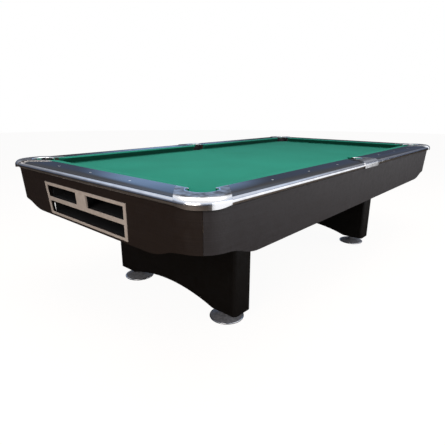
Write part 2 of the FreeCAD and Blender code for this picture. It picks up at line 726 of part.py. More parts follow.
# ---------------------------------------------------------------- aprons
def apron_ring(sketch, shrink, radius):
    """Rounded rectangle inside the apron's top outline by shrink."""
    half_x = f"({HALF_LENGTH} + apron_top_out - {shrink})"
    half_y = f"({HALF_WIDTH} + apron_top_out - {shrink})"
    flat_x, flat_y = f"({half_x} - {radius})", f"({half_y} - {radius})"
    outline(sketch, [
        (f"-{flat_x}", f"-{half_y}"), (flat_x, f"-{half_y}", radius, 1),
        (half_x, f"-{flat_y}"), (half_x, flat_y, radius, 1),
        (flat_x, half_y), (f"-{flat_x}", half_y, radius, 1),
        (f"-{half_x}", flat_y), (f"-{half_x}", f"-{flat_y}", radius, 1)])


def apron_shell(name):
    body = new_body(name)
    for kind, inset in (("Additive", "0"), ("Subtractive", "apron_wall")):
        bottom = new_sketch(body, "XY", "apron_bottom")
        apron_ring(bottom, f"(apron_lean + {inset})", f"(apron_corner - {inset})")
        top = new_sketch(body, "XY", BED)
        apron_ring(top, f"({inset})", f"(apron_corner + apron_lean - {inset})")
        loft = body.newObject(f"PartDesign::{kind}Loft", f"{name}_{kind.lower()}")
        loft.Profile = bottom
        loft.Sections = [top]
        loft.Ruled = True
    return body


def corner_rise_outline(sketch, half, start, hand):
    """Below the lower edge: flat, then an S of two equal arcs up to the corner's level."""
    end = f"({half} - {start})"
    low = f"({end} - rise_run)"
    mid_level = "(apron_bottom + corner_rise / 2)"
    high_level = "(apron_bottom + corner_rise)"
    bend = "((rise_run ^ 2 + corner_rise ^ 2) / (4 * corner_rise))"
    below = "(apron_bottom - corner_rise)"
    outline(sketch, [
        (f"{hand} * {low}", "apron_bottom", bend, hand),
        (f"{hand} * ({low} + rise_run / 2)", mid_level, bend, -hand),
        (f"{hand} * {end}", high_level), (f"{hand} * {half} * 2", high_level),
        (f"{hand} * {half} * 2", below), (f"{hand} * {low}", below)])


def seam_outline(keep_end, hand):
    """Plan area that an apron gives up to the others, split at 45 degrees in each corner."""
    corner_x = f"({HALF_LENGTH} + apron_top_out - apron_lean - apron_corner)"
    corner_y = f"({HALF_WIDTH} + apron_top_out - apron_lean - apron_corner)"
    far = "(4 * apron_corner)"
    if keep_end:
        near_y = f"({corner_y} - seam)"
        far_x, far_y = f"({corner_x} + {far})", f"({near_y} + {far})"
        other_side = f"-{hand} * 2 * {corner_x}"
        return [(f"{hand} * {corner_x}", f"-{near_y}"), (f"{hand} * {far_x}", f"-{far_y}"),
                (other_side, f"-{far_y}"), (other_side, far_y),
                (f"{hand} * {far_x}", far_y), (f"{hand} * {corner_x}", near_y)]
    far_x, far_y = f"({corner_x} + {far})", f"{hand} * ({corner_y} + {far})"
    other_side = f"-{hand} * 2 * {corner_y}"
    return [(f"-{corner_x}", f"{hand} * {corner_y}"), (f"-{far_x}", far_y),
            (f"-{far_x}", other_side), (far_x, other_side),
            (far_x, far_y), (corner_x, f"{hand} * {corner_y}")]


def apron(label, keep_end, hand):
    body = apron_shell(label)
    wedge = new_sketch(body, "XY")
    outline(wedge, seam_outline(keep_end, hand))
    cut_through(body, wedge)
    plane, middle, start = "XZ", HALF_LENGTH, "side_rise_end"
    if keep_end:
        plane, middle, start = "YZ", HALF_WIDTH, "end_rise_end"
    for side in (-1, 1):
        rise = new_sketch(body, plane)
        corner_rise_outline(rise, f"({middle} + apron_top_out - apron_lean)", start, side)
        cut_through(body, rise)
    if label == "apron_foot":
        window = new_sketch(body, "YZ")
        outline(window, bezel_trapezoid("bezel_lap"))
        cut_through(body, window)
    node(body, label)


def bezel_half_at(height):
    slope = "(bezel_half_top - bezel_half_bottom) / (bezel_top - bezel_bottom)"
    return f"(bezel_half_bottom + (({height}) - bezel_bottom) * {slope})"


def bezel_trapezoid(inset):
    low, high = f"(bezel_bottom + {inset})", f"(bezel_top - {inset})"
    return [(f"-({bezel_half_at(low)} - {inset})", low), (f"({bezel_half_at(low)} - {inset})", low),
            (f"({bezel_half_at(high)} - {inset})", high), (f"-({bezel_half_at(high)} - {inset})", high)]


def aprons():
    apron("apron_foot", True, -1)
    apron("apron_head", True, 1)
    apron("apron_left", False, 1)
    apron("apron_right", False, -1)


# ---------------------------------------------------------------- ball return
def apron_face_x(height):
    """The foot apron's outer face at a height."""
    lean = f"apron_lean * ({BED} - ({height})) / {APRON_TALL}"
    return f"(-({HALF_LENGTH} + apron_top_out) + {lean})"


def on_apron_face(body, proud):
    """Lean a body about the bezel's lower edge to lie on the foot apron's face."""
    angle = f"atan(apron_lean / {APRON_TALL})"
    body.Placement = FreeCAD.Placement(
        FreeCAD.Vector(), FreeCAD.Rotation(FreeCAD.Vector(0, 1, 0), -number(angle)))
    bind(body, "Placement.Base.x", f"{apron_face_x('bezel_bottom')} - {proud}")
    bind(body, "Placement.Base.z", "bezel_bottom")


def leaning(points):
    """Outline heights measured from the bezel's lower edge."""
    return [(y, f"({z} - bezel_bottom)") for y, z in points]


def window(low, high):
    reach = "bezel_side"
    return leaning([(f"-({bezel_half_at(low)} - {reach})", low), (f"({bezel_half_at(low)} - {reach})", low),
                    (f"({bezel_half_at(high)} - {reach})", high),
                    (f"-({bezel_half_at(high)} - {reach})", high)])


def ball_return():
    bezel = new_body("bezel")
    face = new_sketch(bezel, "YZ")
    outline(face, leaning(bezel_trapezoid("0")))
    pad(bezel, face, "bezel_thick")
    for low, high in (("(bezel_bottom + bezel_bar_bottom)", "mid_bar_low"),
                      ("mid_bar_high", "(bezel_top - bezel_bar_top)")):
        opening = new_sketch(bezel, "YZ")
        outline(opening, window(low, high))
        cut_through(bezel, opening)
    on_apron_face(bezel, "(bezel_thick + facing_gap / 4)")
    node(bezel, "ball_return_bezel")

    divider = new_body("divider")
    block = new_sketch(divider, "YZ")
    low, high = "(mid_bar_high + gap)", "(bezel_top - bezel_bar_top - gap)"
    outline(block, leaning([("-divider_half", low), ("divider_half", low), ("divider_half", high),
                            ("-divider_half", high)]))
    pad(divider, block, "divider_depth")
    on_apron_face(divider, "(bezel_thick + divider_proud)")
    node(divider, "ball_return_divider")

    front = f"({apron_face_x('(tray_floor - tray_wall)')} + apron_wall + gap)"
    back = "(-beam_half)"
    deep = f"({back} - {front})"
    lower = new_body("tray")
    side = new_sketch(lower, "XZ")
    low, rear = "(tray_floor - tray_wall)", f"({back} - tray_wall)"
    outline(side, [(front, low), (back, low), (back, "mid_bar_low - gap"), (rear, "mid_bar_low - gap"),
                   (rear, "tray_floor"), (front, "tray_floor")])
    pad(lower, side, "2 * tray_half", both_ways=True)
    lip = new_sketch(lower, "XY", "tray_floor")
    for hand in (-1, 1):
        edge, inner = f"{hand} * tray_half", f"{hand} * (tray_half - tray_wall)"
        outline(lip, [(front, edge), (back, edge), (back, inner), (front, inner)])
    pad(lower, lip, "tray_lip")
    ends = new_sketch(lower, "XY", "tray_floor")
    mouth = f"(-{RUN_END} + gully_width / 2)"
    reach = "(gully_width / 2 - run_wall + gap)"
    sides = [(front, f"({mouth} - {reach})"), (f"({mouth} + {reach})", back)]
    for hand in (-1, 1):
        edge, inner = f"{hand} * tray_half", f"{hand} * (tray_half - tray_wall)"
        for low_x, high_x in sides:
            outline(ends, [(low_x, edge), (high_x, edge), (high_x, inner), (low_x, inner)])
    pad(lower, ends, "mid_bar_low - gap - tray_floor")
    node(lower, "ball_tray")

    shelf = new_body("shelf")
    base = new_sketch(shelf, "XY", "mid_bar_high - shelf_drop - shelf_thick")
    front_high = f"({apron_face_x('mid_bar_low')} + apron_wall + gap)"
    outline(base, [(front_high, "-tray_half"), (back, "-tray_half"), (back, "tray_half"),
                   (front_high, "tray_half")])
    pad(shelf, base, "shelf_thick")
    walls = new_sketch(shelf, "XY", "mid_bar_high - shelf_drop")
    outline(walls, [(front_high, "-tray_half"), (back, "-tray_half"), (back, "tray_half"),
                    (front_high, "tray_half"), (front_high, "tray_half - tray_wall"),
                    (rear, "tray_half - tray_wall"), (rear, "-tray_half + tray_wall"),
                    (front_high, "-tray_half + tray_wall")])
    pad(shelf, walls, "bezel_top - mid_bar_high")
    node(shelf, "upper_tray")


def channel(half, depth, wall):
    """U section: inner half width, depth above the floor, wall. The floor's top is at zero."""
    return [(f"-({half} + {wall})", f"-{wall}"), (f"({half} + {wall})", f"-{wall}"),
            (f"({half} + {wall})", depth), (half, depth), (half, "0"), (f"-{half}", "0"),
            (f"-{half}", depth), (f"-({half} + {wall})", depth)]


RUN_END = f"({HALF_LENGTH} + apron_top_out - apron_lean - apron_wall - run_short + gap)"


def run_section(name, hand, start, end):
    """One length of a ball run. An end of the run has a stop, and the foot end a way out."""
    body = new_body(f"run_{name}_{'left' if hand > 0 else 'right'}")
    section = new_sketch(body, "YZ", start)
    outline(section, channel("run_half", "run_depth", "run_wall"))
    pad(body, section, f"{end} - ({start})")
    if name == "foot":
        way_out = new_sketch(body, "XY", "0")
        low, high = f"-({RUN_END} - run_wall)", f"(-{RUN_END} + gully_width)"
        inner = f"-{hand} * (run_half - gap)"
        outer = f"-{hand} * (run_half + 2 * run_wall)"
        outline(way_out, [(low, inner), (high, inner), (high, outer), (low, outer)])
        cut_up(body, way_out, "2 * run_depth")
    if name != "middle":
        side = -1 if name == "foot" else 1
        stop = new_sketch(body, "XY", "-run_wall")
        near_x, far_x = f"{side} * ({RUN_END} - run_wall)", f"{side} * {RUN_END}"
        outline(stop, [(near_x, "-(run_half + run_wall)"), (far_x, "-(run_half + run_wall)"),
                       (far_x, "(run_half + run_wall)"), (near_x, "(run_half + run_wall)")])
        pad(body, stop, "run_depth + run_wall")
    place(body, y=f"{hand} * run_y", z="run_level", turn=-number("run_slope"), axis=(0, 1, 0))
    return body


def ball_run(hand):
    """A run in three lengths, butted over the middle hangers."""
    return [run_section("foot", hand, f"-{RUN_END}", "(-hanger_near)"),
            run_section("middle", hand, "(-hanger_near)", "hanger_near"),
            run_section("head", hand, "hanger_near", RUN_END)]


def cross_gully(name, hand):
    """Channel from a run's way out down to the end of the ball tray."""
    body = new_body("gully_" + name, x=f"-{RUN_END} + gully_width / 2")
    section = new_sketch(body, "XZ")
    outline(section, channel("(gully_width / 2 - 2 * run_wall)", "run_depth - run_wall", "run_wall"))
    start = "(run_y - run_half - run_wall - gap - 1)"
    length = f"({start} - tray_half - gap)"
    pad(body, section, length, backwards=hand < 0)
    angle = number(f"atan(gully_fall / {length})")
    rotation = FreeCAD.Rotation(FreeCAD.Vector(1, 0, 0), hand * angle)
    body.Placement = FreeCAD.Placement(FreeCAD.Vector(), rotation)
    bind(body, "Placement.Base.x", f"-{RUN_END} + gully_width / 2")
    bind(body, "Placement.Base.y", f"{hand} * {start}")
    bind(body, "Placement.Base.z", "gully_start")
    return body


def run_hangers():
    """Steel angles under the runs, one leg on the side beam."""
    items = []
    reach = "(run_y + run_half - beam_out)"
    for hand in (-1, 1):
        for index, x in enumerate(("(-hanger_far)", "(-hanger_near)", "hanger_near", "hanger_far")):
            low_side = f"({x} - hanger_width / 2)"
            top = f"(run_level + {low_side} * tan(run_slope) - run_wall / cos(run_slope) - hanger_slack)"
            name = f"hanger_{index}_{'left' if hand > 0 else 'right'}"
            arm_y = "beam_out" if hand > 0 else f"-(beam_out + {reach})"
            leg_y = "beam_out" if hand > 0 else "-(beam_out + hanger_thick)"
            arm = board(name + "_arm", (low_side, arm_y, f"{top} - hanger_thick"),
                        ("hanger_width", reach, "hanger_thick"))
            leg = board(name + "_leg", (low_side, leg_y, f"{top} - hanger_leg"),
                        ("hanger_width", "hanger_thick", "hanger_leg"))
            angle = doc.addObject("Part::Fuse", name)
            angle.Base, angle.Tool = arm, leg
            items.append(angle)
    group(items, "run_hangers")


def runs():
    group(ball_run(1) + ball_run(-1), "ball_runs")
    group([cross_gully("left", 1), cross_gully("right", -1)], "cross_gullies")
    run_hangers()


# ---------------------------------------------------------------- frame and pedestals
def frame():
    tall = f"{SLATE_BOTTOM} - frame_bottom"
    sides = [board(f"side_beam_{index}", ("-beam_half", y, "frame_bottom"),
                   ("2 * beam_half", "beam_wide", tall))
             for index, y in enumerate(("-beam_out", "beam_out - beam_wide"))]
    group(sides, "side_beams")
    middles = []
    for index, x in enumerate((f"{SLATE_HALF} / 3", "pedestal_x", "(beam_half - cross_wide / 2)")):
        middles += [(f"{index}_head", x), (f"{index}_foot", f"-({x})")]
    beams = [board(f"cross_beam_{name}",
                   (f"{x} - cross_wide / 2", "-(beam_out - beam_wide)", f"{SLATE_BOTTOM} - cross_tall"),
                   ("cross_wide", "2 * (beam_out - beam_wide)", "cross_tall"))
             for name, x in middles]
    group(beams, "cross_beams")


def arched_panel(name, x):
    body = new_body(name, x=x)
    sketch = new_sketch(body, "YZ")
    half, top = "(beam_out - post_wide)", "(frame_bottom - top_board)"
    bend = "((arch_half ^ 2 + arch_rise ^ 2) / (2 * arch_rise))"
    outline(sketch, [(f"-{half}", "pedestal_bottom"), ("-arch_half", "pedestal_bottom", bend, -1),
                     ("arch_half", "pedestal_bottom"), (half, "pedestal_bottom"), (half, top),
                     (f"-{half}", top)])
    pad(body, sketch, "panel_thick")
    return body


def end_post(name, x, hand):
    body = new_body(name, x=x)
    sketch = new_sketch(body, "XY", "pedestal_bottom")
    half, bend = "(pedestal_deep / 2)", "post_round"
    outer, inner = f"{hand} * beam_out", f"{hand} * (beam_out - post_wide)"
    shoulder = f"{hand} * (beam_out - {bend})"
    outline(sketch, [(f"-{half}", inner), (f"-{half}", shoulder, bend, -hand),
                     (f"-({half} - {bend})", outer), (f"({half} - {bend})", outer, bend, -hand),
                     (half, shoulder), (half, inner)])
    pad(body, sketch, "frame_bottom - top_board - pedestal_bottom")
    return body


def pedestals():
    panels, posts, tops, blocks = [], [], [], []
    for name, end in (("foot", -1), ("head", 1)):
        middle = f"({end} * pedestal_x)"
        outside = f"{middle} + pedestal_deep / 2 - panel_thick"
        inside = f"{middle} - pedestal_deep / 2"
        panels.append(arched_panel(f"panel_{name}_high", outside))
        panels.append(arched_panel(f"panel_{name}_low", inside))
        tops.append(board(f"top_board_{name}",
                          (inside, "-beam_out", "frame_bottom - top_board"),
                          ("pedestal_deep", "2 * beam_out", "top_board")))
        for side, hand in (("left", 1), ("right", -1)):
            posts.append(end_post(f"post_{name}_{side}", middle, hand))
            blocks.append(nut_block(f"nut_block_{name}_{side}", middle, hand))
    group(panels, "pedestal_panels")
    group(posts, "pedestal_end_posts")
    group(tops, "pedestal_top_boards")
    group(blocks, "leveller_nut_blocks")


def nut_block(name, middle, hand):
    """Steel block between the panels, bored for the leveller's stem."""
    body = new_body(name, x=middle, y=f"{hand} * foot_y")
    sketch = new_sketch(body, "XY", "pedestal_bottom")
    half = "(pedestal_deep / 2 - panel_thick)"
    room = "(beam_out - post_wide - foot_y)"
    inward = "(foot_y - arch_half)"
    low = f"-{inward}" if hand > 0 else f"-{room}"
    high = room if hand > 0 else inward
    outline(sketch, [(f"-{half}", low), (half, low), (half, high), (f"-{half}", high)])
    circle(sketch, "0", "0", "stem_radius + stem_fit")
    pad(body, sketch, "nut_block")
    return body


# ---------------------------------------------------------------- levellers
def leveller_base(label, **where):
    body = new_body(label, **where)
    sketch = new_sketch(body, "XZ")
    bore = "(stem_radius + stem_fit)"
    outline(sketch, [
        ("0", "0"), ("foot_radius - 1", "0"), ("foot_radius", "1"), ("foot_radius", "foot_rim - 1"),
        ("foot_radius - 1.5", "foot_rim"), ("foot_radius - 6", "foot_rim"),
        ("foot_hub + 6", "foot_height - 12"), ("foot_hub", "foot_height - 8"),
        ("foot_hub", "foot_height - 1"), ("foot_hub - 1", "foot_height"), (bore, "foot_height"),
        (bore, "socket_floor"), ("0", "socket_floor")])
    turning = body.newObject("PartDesign::Revolution", label + "_turned")
    turning.Profile = sketch
    turning.ReferenceAxis = (sketch, ["V_Axis"])
    node(body, label)


def leveller_stem(label, **where):
    body = new_body(label, **where)
    shank = new_sketch(body, "XY", "socket_floor + gap / 3")
    circle(shank, "0", "0", "stem_radius")
    pad(body, shank, "stem_top - socket_floor - gap / 3")
    flats = new_sketch(body, "XY", "pedestal_bottom - hex_height - gap")
    corners = [("hex_radius", "0"), ("hex_radius / 2", "hex_radius * sqrt(3) / 2")]
    corners += [(f"-({x})", y) for x, y in reversed(corners)]
    corners += [(x, f"-({y})") for x, y in (("-hex_radius / 2", "hex_radius * sqrt(3) / 2"),
                                             ("hex_radius / 2", "hex_radius * sqrt(3) / 2"))]
    outline(flats, corners)
    pad(body, flats, "hex_height")
    node(body, label)


def levellers():
    for name, sx, sy in (("foot_left", -1, 1), ("foot_right", -1, -1), ("head_left", 1, 1),
                         ("head_right", 1, -1)):
        where = dict(x=f"{sx} * pedestal_x", y=f"{sy} * foot_y")
        leveller_base("leveller_base_" + name, **where)
        leveller_stem("leveller_stem_" + name, **where)


# ---------------------------------------------------------------- build, check, write
def check_and_write():
    doc.recompute()
    for item in doc.Objects:
        if "Invalid" in item.State or "Error" in item.State:
            raise RuntimeError(f"{item.Name} ({item.Label}) did not rebuild: {item.State}")
    for item in sub_parts:
        if item.Shape.isNull() or not item.Shape.isValid() or not item.Shape.Solids:
            raise RuntimeError(f"{item.Label} has no valid solid")
    os.makedirs("parts", exist_ok=True)
    for item in sub_parts:
        item.Shape.exportStep(f"parts/{item.Label}.step")
        print(f"{item.Label}: {len(item.Shape.Solids)} solid(s), {item.Shape.Volume / 1000:.0f} cm3")


fill_sheet()
slates_and_cloth()
rails()
sights()
rail_bolts()
castings_and_liners()
aprons()
ball_return()
runs()
frame()
pedestals()
levellers()
check_and_write()
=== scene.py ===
import json
import math

import bmesh
import bpy
from mathutils import Matrix, Vector

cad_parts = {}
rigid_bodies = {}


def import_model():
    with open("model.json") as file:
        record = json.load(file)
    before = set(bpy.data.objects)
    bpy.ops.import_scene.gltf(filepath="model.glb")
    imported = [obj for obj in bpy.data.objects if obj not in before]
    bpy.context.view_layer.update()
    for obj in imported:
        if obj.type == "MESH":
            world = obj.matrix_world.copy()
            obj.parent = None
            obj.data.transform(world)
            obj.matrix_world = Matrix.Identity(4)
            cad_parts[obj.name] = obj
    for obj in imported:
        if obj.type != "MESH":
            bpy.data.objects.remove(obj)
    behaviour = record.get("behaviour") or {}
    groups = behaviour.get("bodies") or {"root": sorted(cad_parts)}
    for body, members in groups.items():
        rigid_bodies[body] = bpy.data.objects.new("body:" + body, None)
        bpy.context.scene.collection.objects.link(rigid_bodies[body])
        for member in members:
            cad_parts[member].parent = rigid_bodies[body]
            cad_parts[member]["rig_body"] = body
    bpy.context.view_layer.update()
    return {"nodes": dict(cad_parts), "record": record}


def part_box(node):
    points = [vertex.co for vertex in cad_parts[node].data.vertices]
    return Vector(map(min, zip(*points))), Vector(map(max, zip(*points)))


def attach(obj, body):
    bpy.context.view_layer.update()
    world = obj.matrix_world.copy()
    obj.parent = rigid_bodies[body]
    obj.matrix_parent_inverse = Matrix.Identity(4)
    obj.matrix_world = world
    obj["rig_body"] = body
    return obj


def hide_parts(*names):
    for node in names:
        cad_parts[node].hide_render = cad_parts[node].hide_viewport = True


bl_info = {
    "name": "Pool Table",
    "version": (1, 0, 0),
    "blender": (4, 5, 0),
    "location": "View3D > Sidebar > Pool Table",
    "description": "Cloth, castings, laminates, feet and studio for a nine-foot pocket table",
    "category": "Object",
}

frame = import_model()
BODY_OF = {name: item["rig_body"] for name, item in frame["nodes"].items()}
SLOT_OF = {part["node"]: part["material_slot"] for part in frame["record"]["subparts"]}

# All lengths are metres. +X runs towards the head end, +Y to the left side.
MM = 0.001
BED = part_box("bed_cloth")[1].z
RAIL_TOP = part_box("rail_cap_head")[1].z
CAP_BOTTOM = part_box("rail_cap_head")[0].z
NOSE_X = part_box("cushion_cloth_head")[0].x
NOSE_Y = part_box("cushion_cloth_left_head")[0].y
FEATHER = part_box("rail_cap_head")[0].x - NOSE_X
RAIL_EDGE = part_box("rail_cap_head")[1].x - NOSE_X
WOOD_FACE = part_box("rail_head")[0].x - NOSE_X
CASTING_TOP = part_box("corner_casting_head_left")[1].z
CASTING_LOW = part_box("corner_casting_head_left")[0].z
CASTING_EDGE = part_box("corner_casting_head_left")[1].x - NOSE_X
CASTING_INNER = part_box("side_casting_left")[0].y - NOSE_Y

# Pockets: centres outwards from the nose lines, and radii of the holes.
CORNER_BACK = 36 * MM
CORNER_RADIUS = 62 * MM
SIDE_BACK = 62 * MM
SIDE_RADIUS = 56 * MM
CORNER_HALF_MOUTH = 86 * MM
SIDE_HALF_MOUTH = 66.5 * MM
CORNER_FACING = math.radians(41)
SIDE_FACING = math.radians(14)
# Length of a corner casting's inner edge along each rail, before its slanting end.
CORNER_LENGTH = 104.6 * MM * math.sqrt(2)
# Height of the cushions' nose above the cloth, and of the sights' centres from the nose line.
NOSE_HEIGHT = 36.5 * MM
SIGHT_BACK = 112 * MM

RAILS = {
    "left_head": {"y": NOSE_Y, "turn": 0, "reach": NOSE_X, "hands": (1,)},
    "left_foot": {"y": NOSE_Y, "turn": 0, "reach": NOSE_X, "hands": (-1,)},
    "right_foot": {"y": -NOSE_Y, "turn": 180, "reach": NOSE_X, "hands": (1,)},
    "right_head": {"y": -NOSE_Y, "turn": 180, "reach": NOSE_X, "hands": (-1,)},
    "head": {"x": NOSE_X, "turn": -90, "reach": NOSE_Y, "hands": (-1, 1)},
    "foot": {"x": -NOSE_X, "turn": 90, "reach": NOSE_Y, "hands": (-1, 1)},
}
CORNERS = {
    "head_left": (NOSE_X, NOSE_Y, 0),
    "foot_left": (-NOSE_X, NOSE_Y, 90),
    "foot_right": (-NOSE_X, -NOSE_Y, 180),
    "head_right": (NOSE_X, -NOSE_Y, 270),
}
SIDES = {"left": (0, NOSE_Y, 0), "right": (0, -NOSE_Y, 180)}
FEET = ("foot_left", "foot_right", "head_left", "head_right")


# ------------------------------------------------------------------ colours and nodes
def linear(hex_colour):
    """An sRGB hex colour as the linear RGBA that shaders use."""
    channels = [int(hex_colour[i:i + 2], 16) / 255 for i in (1, 3, 5)]
    return [c / 12.92 if c <= 0.04045 else ((c + 0.055) / 1.055) ** 2.4 for c in channels] + [1.0]


def add(tree, kind, sockets=None, **settings):
    """Add a node. Each socket takes a value, or a (node, output) pair to link."""
    node = tree.nodes.new("ShaderNode" + kind)
    for name, value in settings.items():
        setattr(node, name, value)
    for socket, source in (sockets or {}).items():
        if isinstance(source, tuple) and isinstance(source[0], bpy.types.Node):
            tree.links.new(source[0].outputs[source[1]], node.inputs[socket])
        else:
            node.inputs[socket].default_value = source
    return node


def new_material(name, roughness, metallic=0.0, **sockets):
    """A material named for the real one, its node tree and its shader."""
    material = bpy.data.materials.new(name)
    material.use_nodes = True
    tree = material.node_tree
    shader = tree.nodes["Principled BSDF"]
    shader.inputs["Roughness"].default_value = roughness
    shader.inputs["Metallic"].default_value = metallic
    for socket, value in sockets.items():
        shader.inputs[socket.replace("_", " ").title().replace("Ior", "IOR")].default_value = value
    return material, tree, shader


def plug(tree, source, output, shader, socket):
    tree.links.new(source.outputs[output], shader.inputs[socket])


def per_metre(size):
    """Noise scale whose features are about this size in metres."""
    return 1 / size


def bands_per_metre(period):
    """Wave scale whose bands repeat at this period: a band is 2 pi / 20 long at scale 1."""
    return math.tau / 20 / period


def mottled(tree, shader, where, feature, dark, light, detail=3.0):
    """Colour that wanders between two near shades over patches of a given size."""
    noise = add(tree, "TexNoise", {"Vector": where, "Scale": per_metre(feature), "Detail": detail})
    ramp = add(tree, "ValToRGB", {"Fac": (noise, "Fac")})
    ramp.color_ramp.elements[0].position = 0.3
    ramp.color_ramp.elements[0].color = linear(dark)
    ramp.color_ramp.elements[1].position = 0.7
    ramp.color_ramp.elements[1].color = linear(light)
    plug(tree, ramp, "Color", shader, "Base Color")
    return ramp


def wandering_roughness(tree, shader, where, feature, low, high):
    noise = add(tree, "TexNoise", {"Vector": where, "Scale": per_metre(feature), "Detail": 4.0})
    spread = add(tree, "MapRange", {"Value": (noise, "Fac"), "From Min": 0.35, "From Max": 0.65,
                                    "To Min": low, "To Max": high})
    plug(tree, spread, "Result", shader, "Roughness")


def relief(tree, shader, height, output, depth, strength=1.0):
    bump = add(tree, "Bump", {"Height": (height, output), "Distance": depth, "Strength": strength})
    plug(tree, bump, "Normal", shader, "Normal")


# ------------------------------------------------------------------ materials
def worsted_cloth(colour):
    """Worsted wool and nylon, woven and sheared: matt, with a soft sheen and a faint nap."""
    material, tree, shader = new_material("worsted_cloth", 0.92, sheen_weight=0.03,
                                          sheen_roughness=0.5, specular_ior_level=0.1)
    where = (add(tree, "TexCoord"), "Object")
    # The real yarn is 0.5 mm; it is drawn at 2.5 mm, the finest that shows.
    pitch = 2.5 * MM
    yarns = {"Vector": where, "Scale": bands_per_metre(pitch), "Distortion": 1.5, "Detail": 1.0}
    across = add(tree, "TexWave", yarns, bands_direction="X")
    along = add(tree, "TexWave", yarns, bands_direction="Y")
    weave = add(tree, "Math", {0: (across, "Fac"), 1: (along, "Fac")}, operation="MULTIPLY")
    nap = add(tree, "TexNoise", {"Vector": where, "Scale": per_metre(420 * MM), "Detail": 5.0})
    shade = add(tree, "MapRange", {"Value": (nap, "Fac"), "From Min": 0.3, "From Max": 0.7,
                                   "To Min": 0.93, "To Max": 1.07})
    yarn = add(tree, "MapRange", {"Value": (weave, 0), "To Min": 0.94, "To Max": 1.05})
    # Painted shade: on the cushions, above the bed, the cloth darkens from its full colour at 38 mm
    # over the bed to 0.3 of it at 34 mm and below, under the nose's overhang.
    height = add(tree, "SeparateXYZ", {"Vector": where})
    above = add(tree, "Math", {0: (height, "Z"), 1: BED + 1.5 * MM}, operation="GREATER_THAN")
    painted_nose_shade = add(tree, "MapRange", {"Value": (height, "Z"), "From Min": BED + 34 * MM,
                                   "From Max": BED + 38 * MM, "To Min": 0.3, "To Max": 1.0})
    cushion_painted_shade = add(tree, "Mix", {0: (above, 0), 2: 1.0, 3: (painted_nose_shade, "Result")}, data_type="FLOAT")
    nap_and_painted_shade = add(tree, "Math", {0: (shade, "Result"), 1: (cushion_painted_shade, 0)}, operation="MULTIPLY")
    both = add(tree, "Math", {0: (nap_and_painted_shade, 0), 1: (yarn, "Result")}, operation="MULTIPLY")
    tinted = add(tree, "HueSaturation", {"Color": colour, "Value": (both, 0)})
    plug(tree, tinted, "Color", shader, "Base Color")
    relief(tree, shader, weave, 0, 0.15 * MM, 0.4)
    return material


def gloss_laminate():
    """High-pressure laminate, pressed on a polished plate: black, mirror-like, faint ripple."""
    material, tree, shader = new_material("gloss_black_laminate", 0.09, ior=1.5)
    where = (add(tree, "TexCoord"), "Object")
    mottled(tree, shader, where, 14 * MM, "#08090C", "#12141A")
    wandering_roughness(tree, shader, where, 60 * MM, 0.07, 0.14)
    ripple = add(tree, "TexNoise", {"Vector": where, "Scale": per_metre(9 * MM), "Detail": 2.0})
    relief(tree, shader, ripple, "Fac", 0.02 * MM, 0.5)
    return material


def matt_laminate(name, dark, light, gloss):
    """Melamine-faced board with a printed ash figure: fine pores along the grain, satin."""
    material, tree, shader = new_material(name, 0.5, ior=1.5, specular_ior_level=gloss)
    place = add(tree, "TexCoord")
    # Grain lines 4 mm apart across and 300 mm long.
    stretch = add(tree, "Mapping", {"Vector": (place, "Object"), "Scale": (1 / 75, 1 / 75, 1.0)})
    grain = (stretch, "Vector")
    ramp = mottled(tree, shader, grain, 4 * MM, dark, light, 6.0)
    wandering_roughness(tree, shader, (place, "Object"), 35 * MM, 0.42, 0.56)
    relief(tree, shader, ramp, "Color", 0.03 * MM, 0.4)
    return material


def extruded_trim():
    """Extruded aluminium, bright dipped: a clear reflection with a faint ripple from the die."""
    material, tree, shader = new_material("bright_dipped_aluminium", 0.1, 1.0)
    where = (add(tree, "TexCoord"), "Object")
    mottled(tree, shader, where, 45 * MM, "#D6D6D8", "#EDEDEE")
    wandering_roughness(tree, shader, where, 30 * MM, 0.07, 0.15)
    ripple = add(tree, "TexNoise", {"Vector": where, "Scale": per_metre(4 * MM), "Detail": 2.0})
    relief(tree, shader, ripple, "Fac", 0.03 * MM, 0.5)
    return material


def cast_aluminium():
    """Aluminium casting, buffed by hand: bright on the rubbed shoulder, with a painted dark
    reflection, clouded and brown-grey, on the flat top, and slow waves in the reflection."""
    material, tree, shader = new_material("buffed_cast_aluminium", 0.12, 1.0)
    where = (add(tree, "TexCoord"), "Object")
    height = add(tree, "SeparateXYZ", {"Vector": where})
    top = add(tree, "MapRange", {"Value": (height, "Z"), "From Min": RAIL_TOP - 1.5 * MM,
                                 "From Max": RAIL_TOP + 2.6 * MM}, interpolation_type="SMOOTHSTEP")
    clouds = add(tree, "TexNoise", {"Vector": where, "Scale": per_metre(34 * MM), "Detail": 5.0,
                                    "Roughness": 0.6})
    cover = add(tree, "MapRange", {"Value": (clouds, "Fac"), "From Min": 0.36, "From Max": 0.62,
                                   "To Min": 0.55, "To Max": 1.0})
    # Painted reflection: on the top the base colour turns dark brown-grey in clouds, standing in
    # for the dark room that the top would reflect.
    painted_dark_top = add(tree, "Math", {0: (top, "Result"), 1: (cover, "Result")}, operation="MULTIPLY")
    colour = add(tree, "Mix", {0: (painted_dark_top, 0), 6: linear("#E9E9EA"), 7: linear("#4A443F")},
                 data_type="RGBA")
    plug(tree, colour, 2, shader, "Base Color")
    dull = add(tree, "MapRange", {"Value": (painted_dark_top, 0), "To Min": 0.19, "To Max": 0.4})
    plug(tree, dull, "Result", shader, "Roughness")
    wave = add(tree, "TexNoise", {"Vector": where, "Scale": per_metre(42 * MM), "Detail": 1.0})
    relief(tree, shader, wave, "Fac", 1.1 * MM, 0.5)
    return material


def rubbed_lip():
    """The casting's rolled lip round the pocket, rubbed bright by hands and balls."""
    material, tree, shader = new_material("rubbed_casting_lip", 0.12, 1.0)
    where = (add(tree, "TexCoord"), "Object")
    mottled(tree, shader, where, 12 * MM, "#D5D6D8", "#EFEFF0")
    wandering_roughness(tree, shader, where, 6 * MM, 0.08, 0.2)
    return material


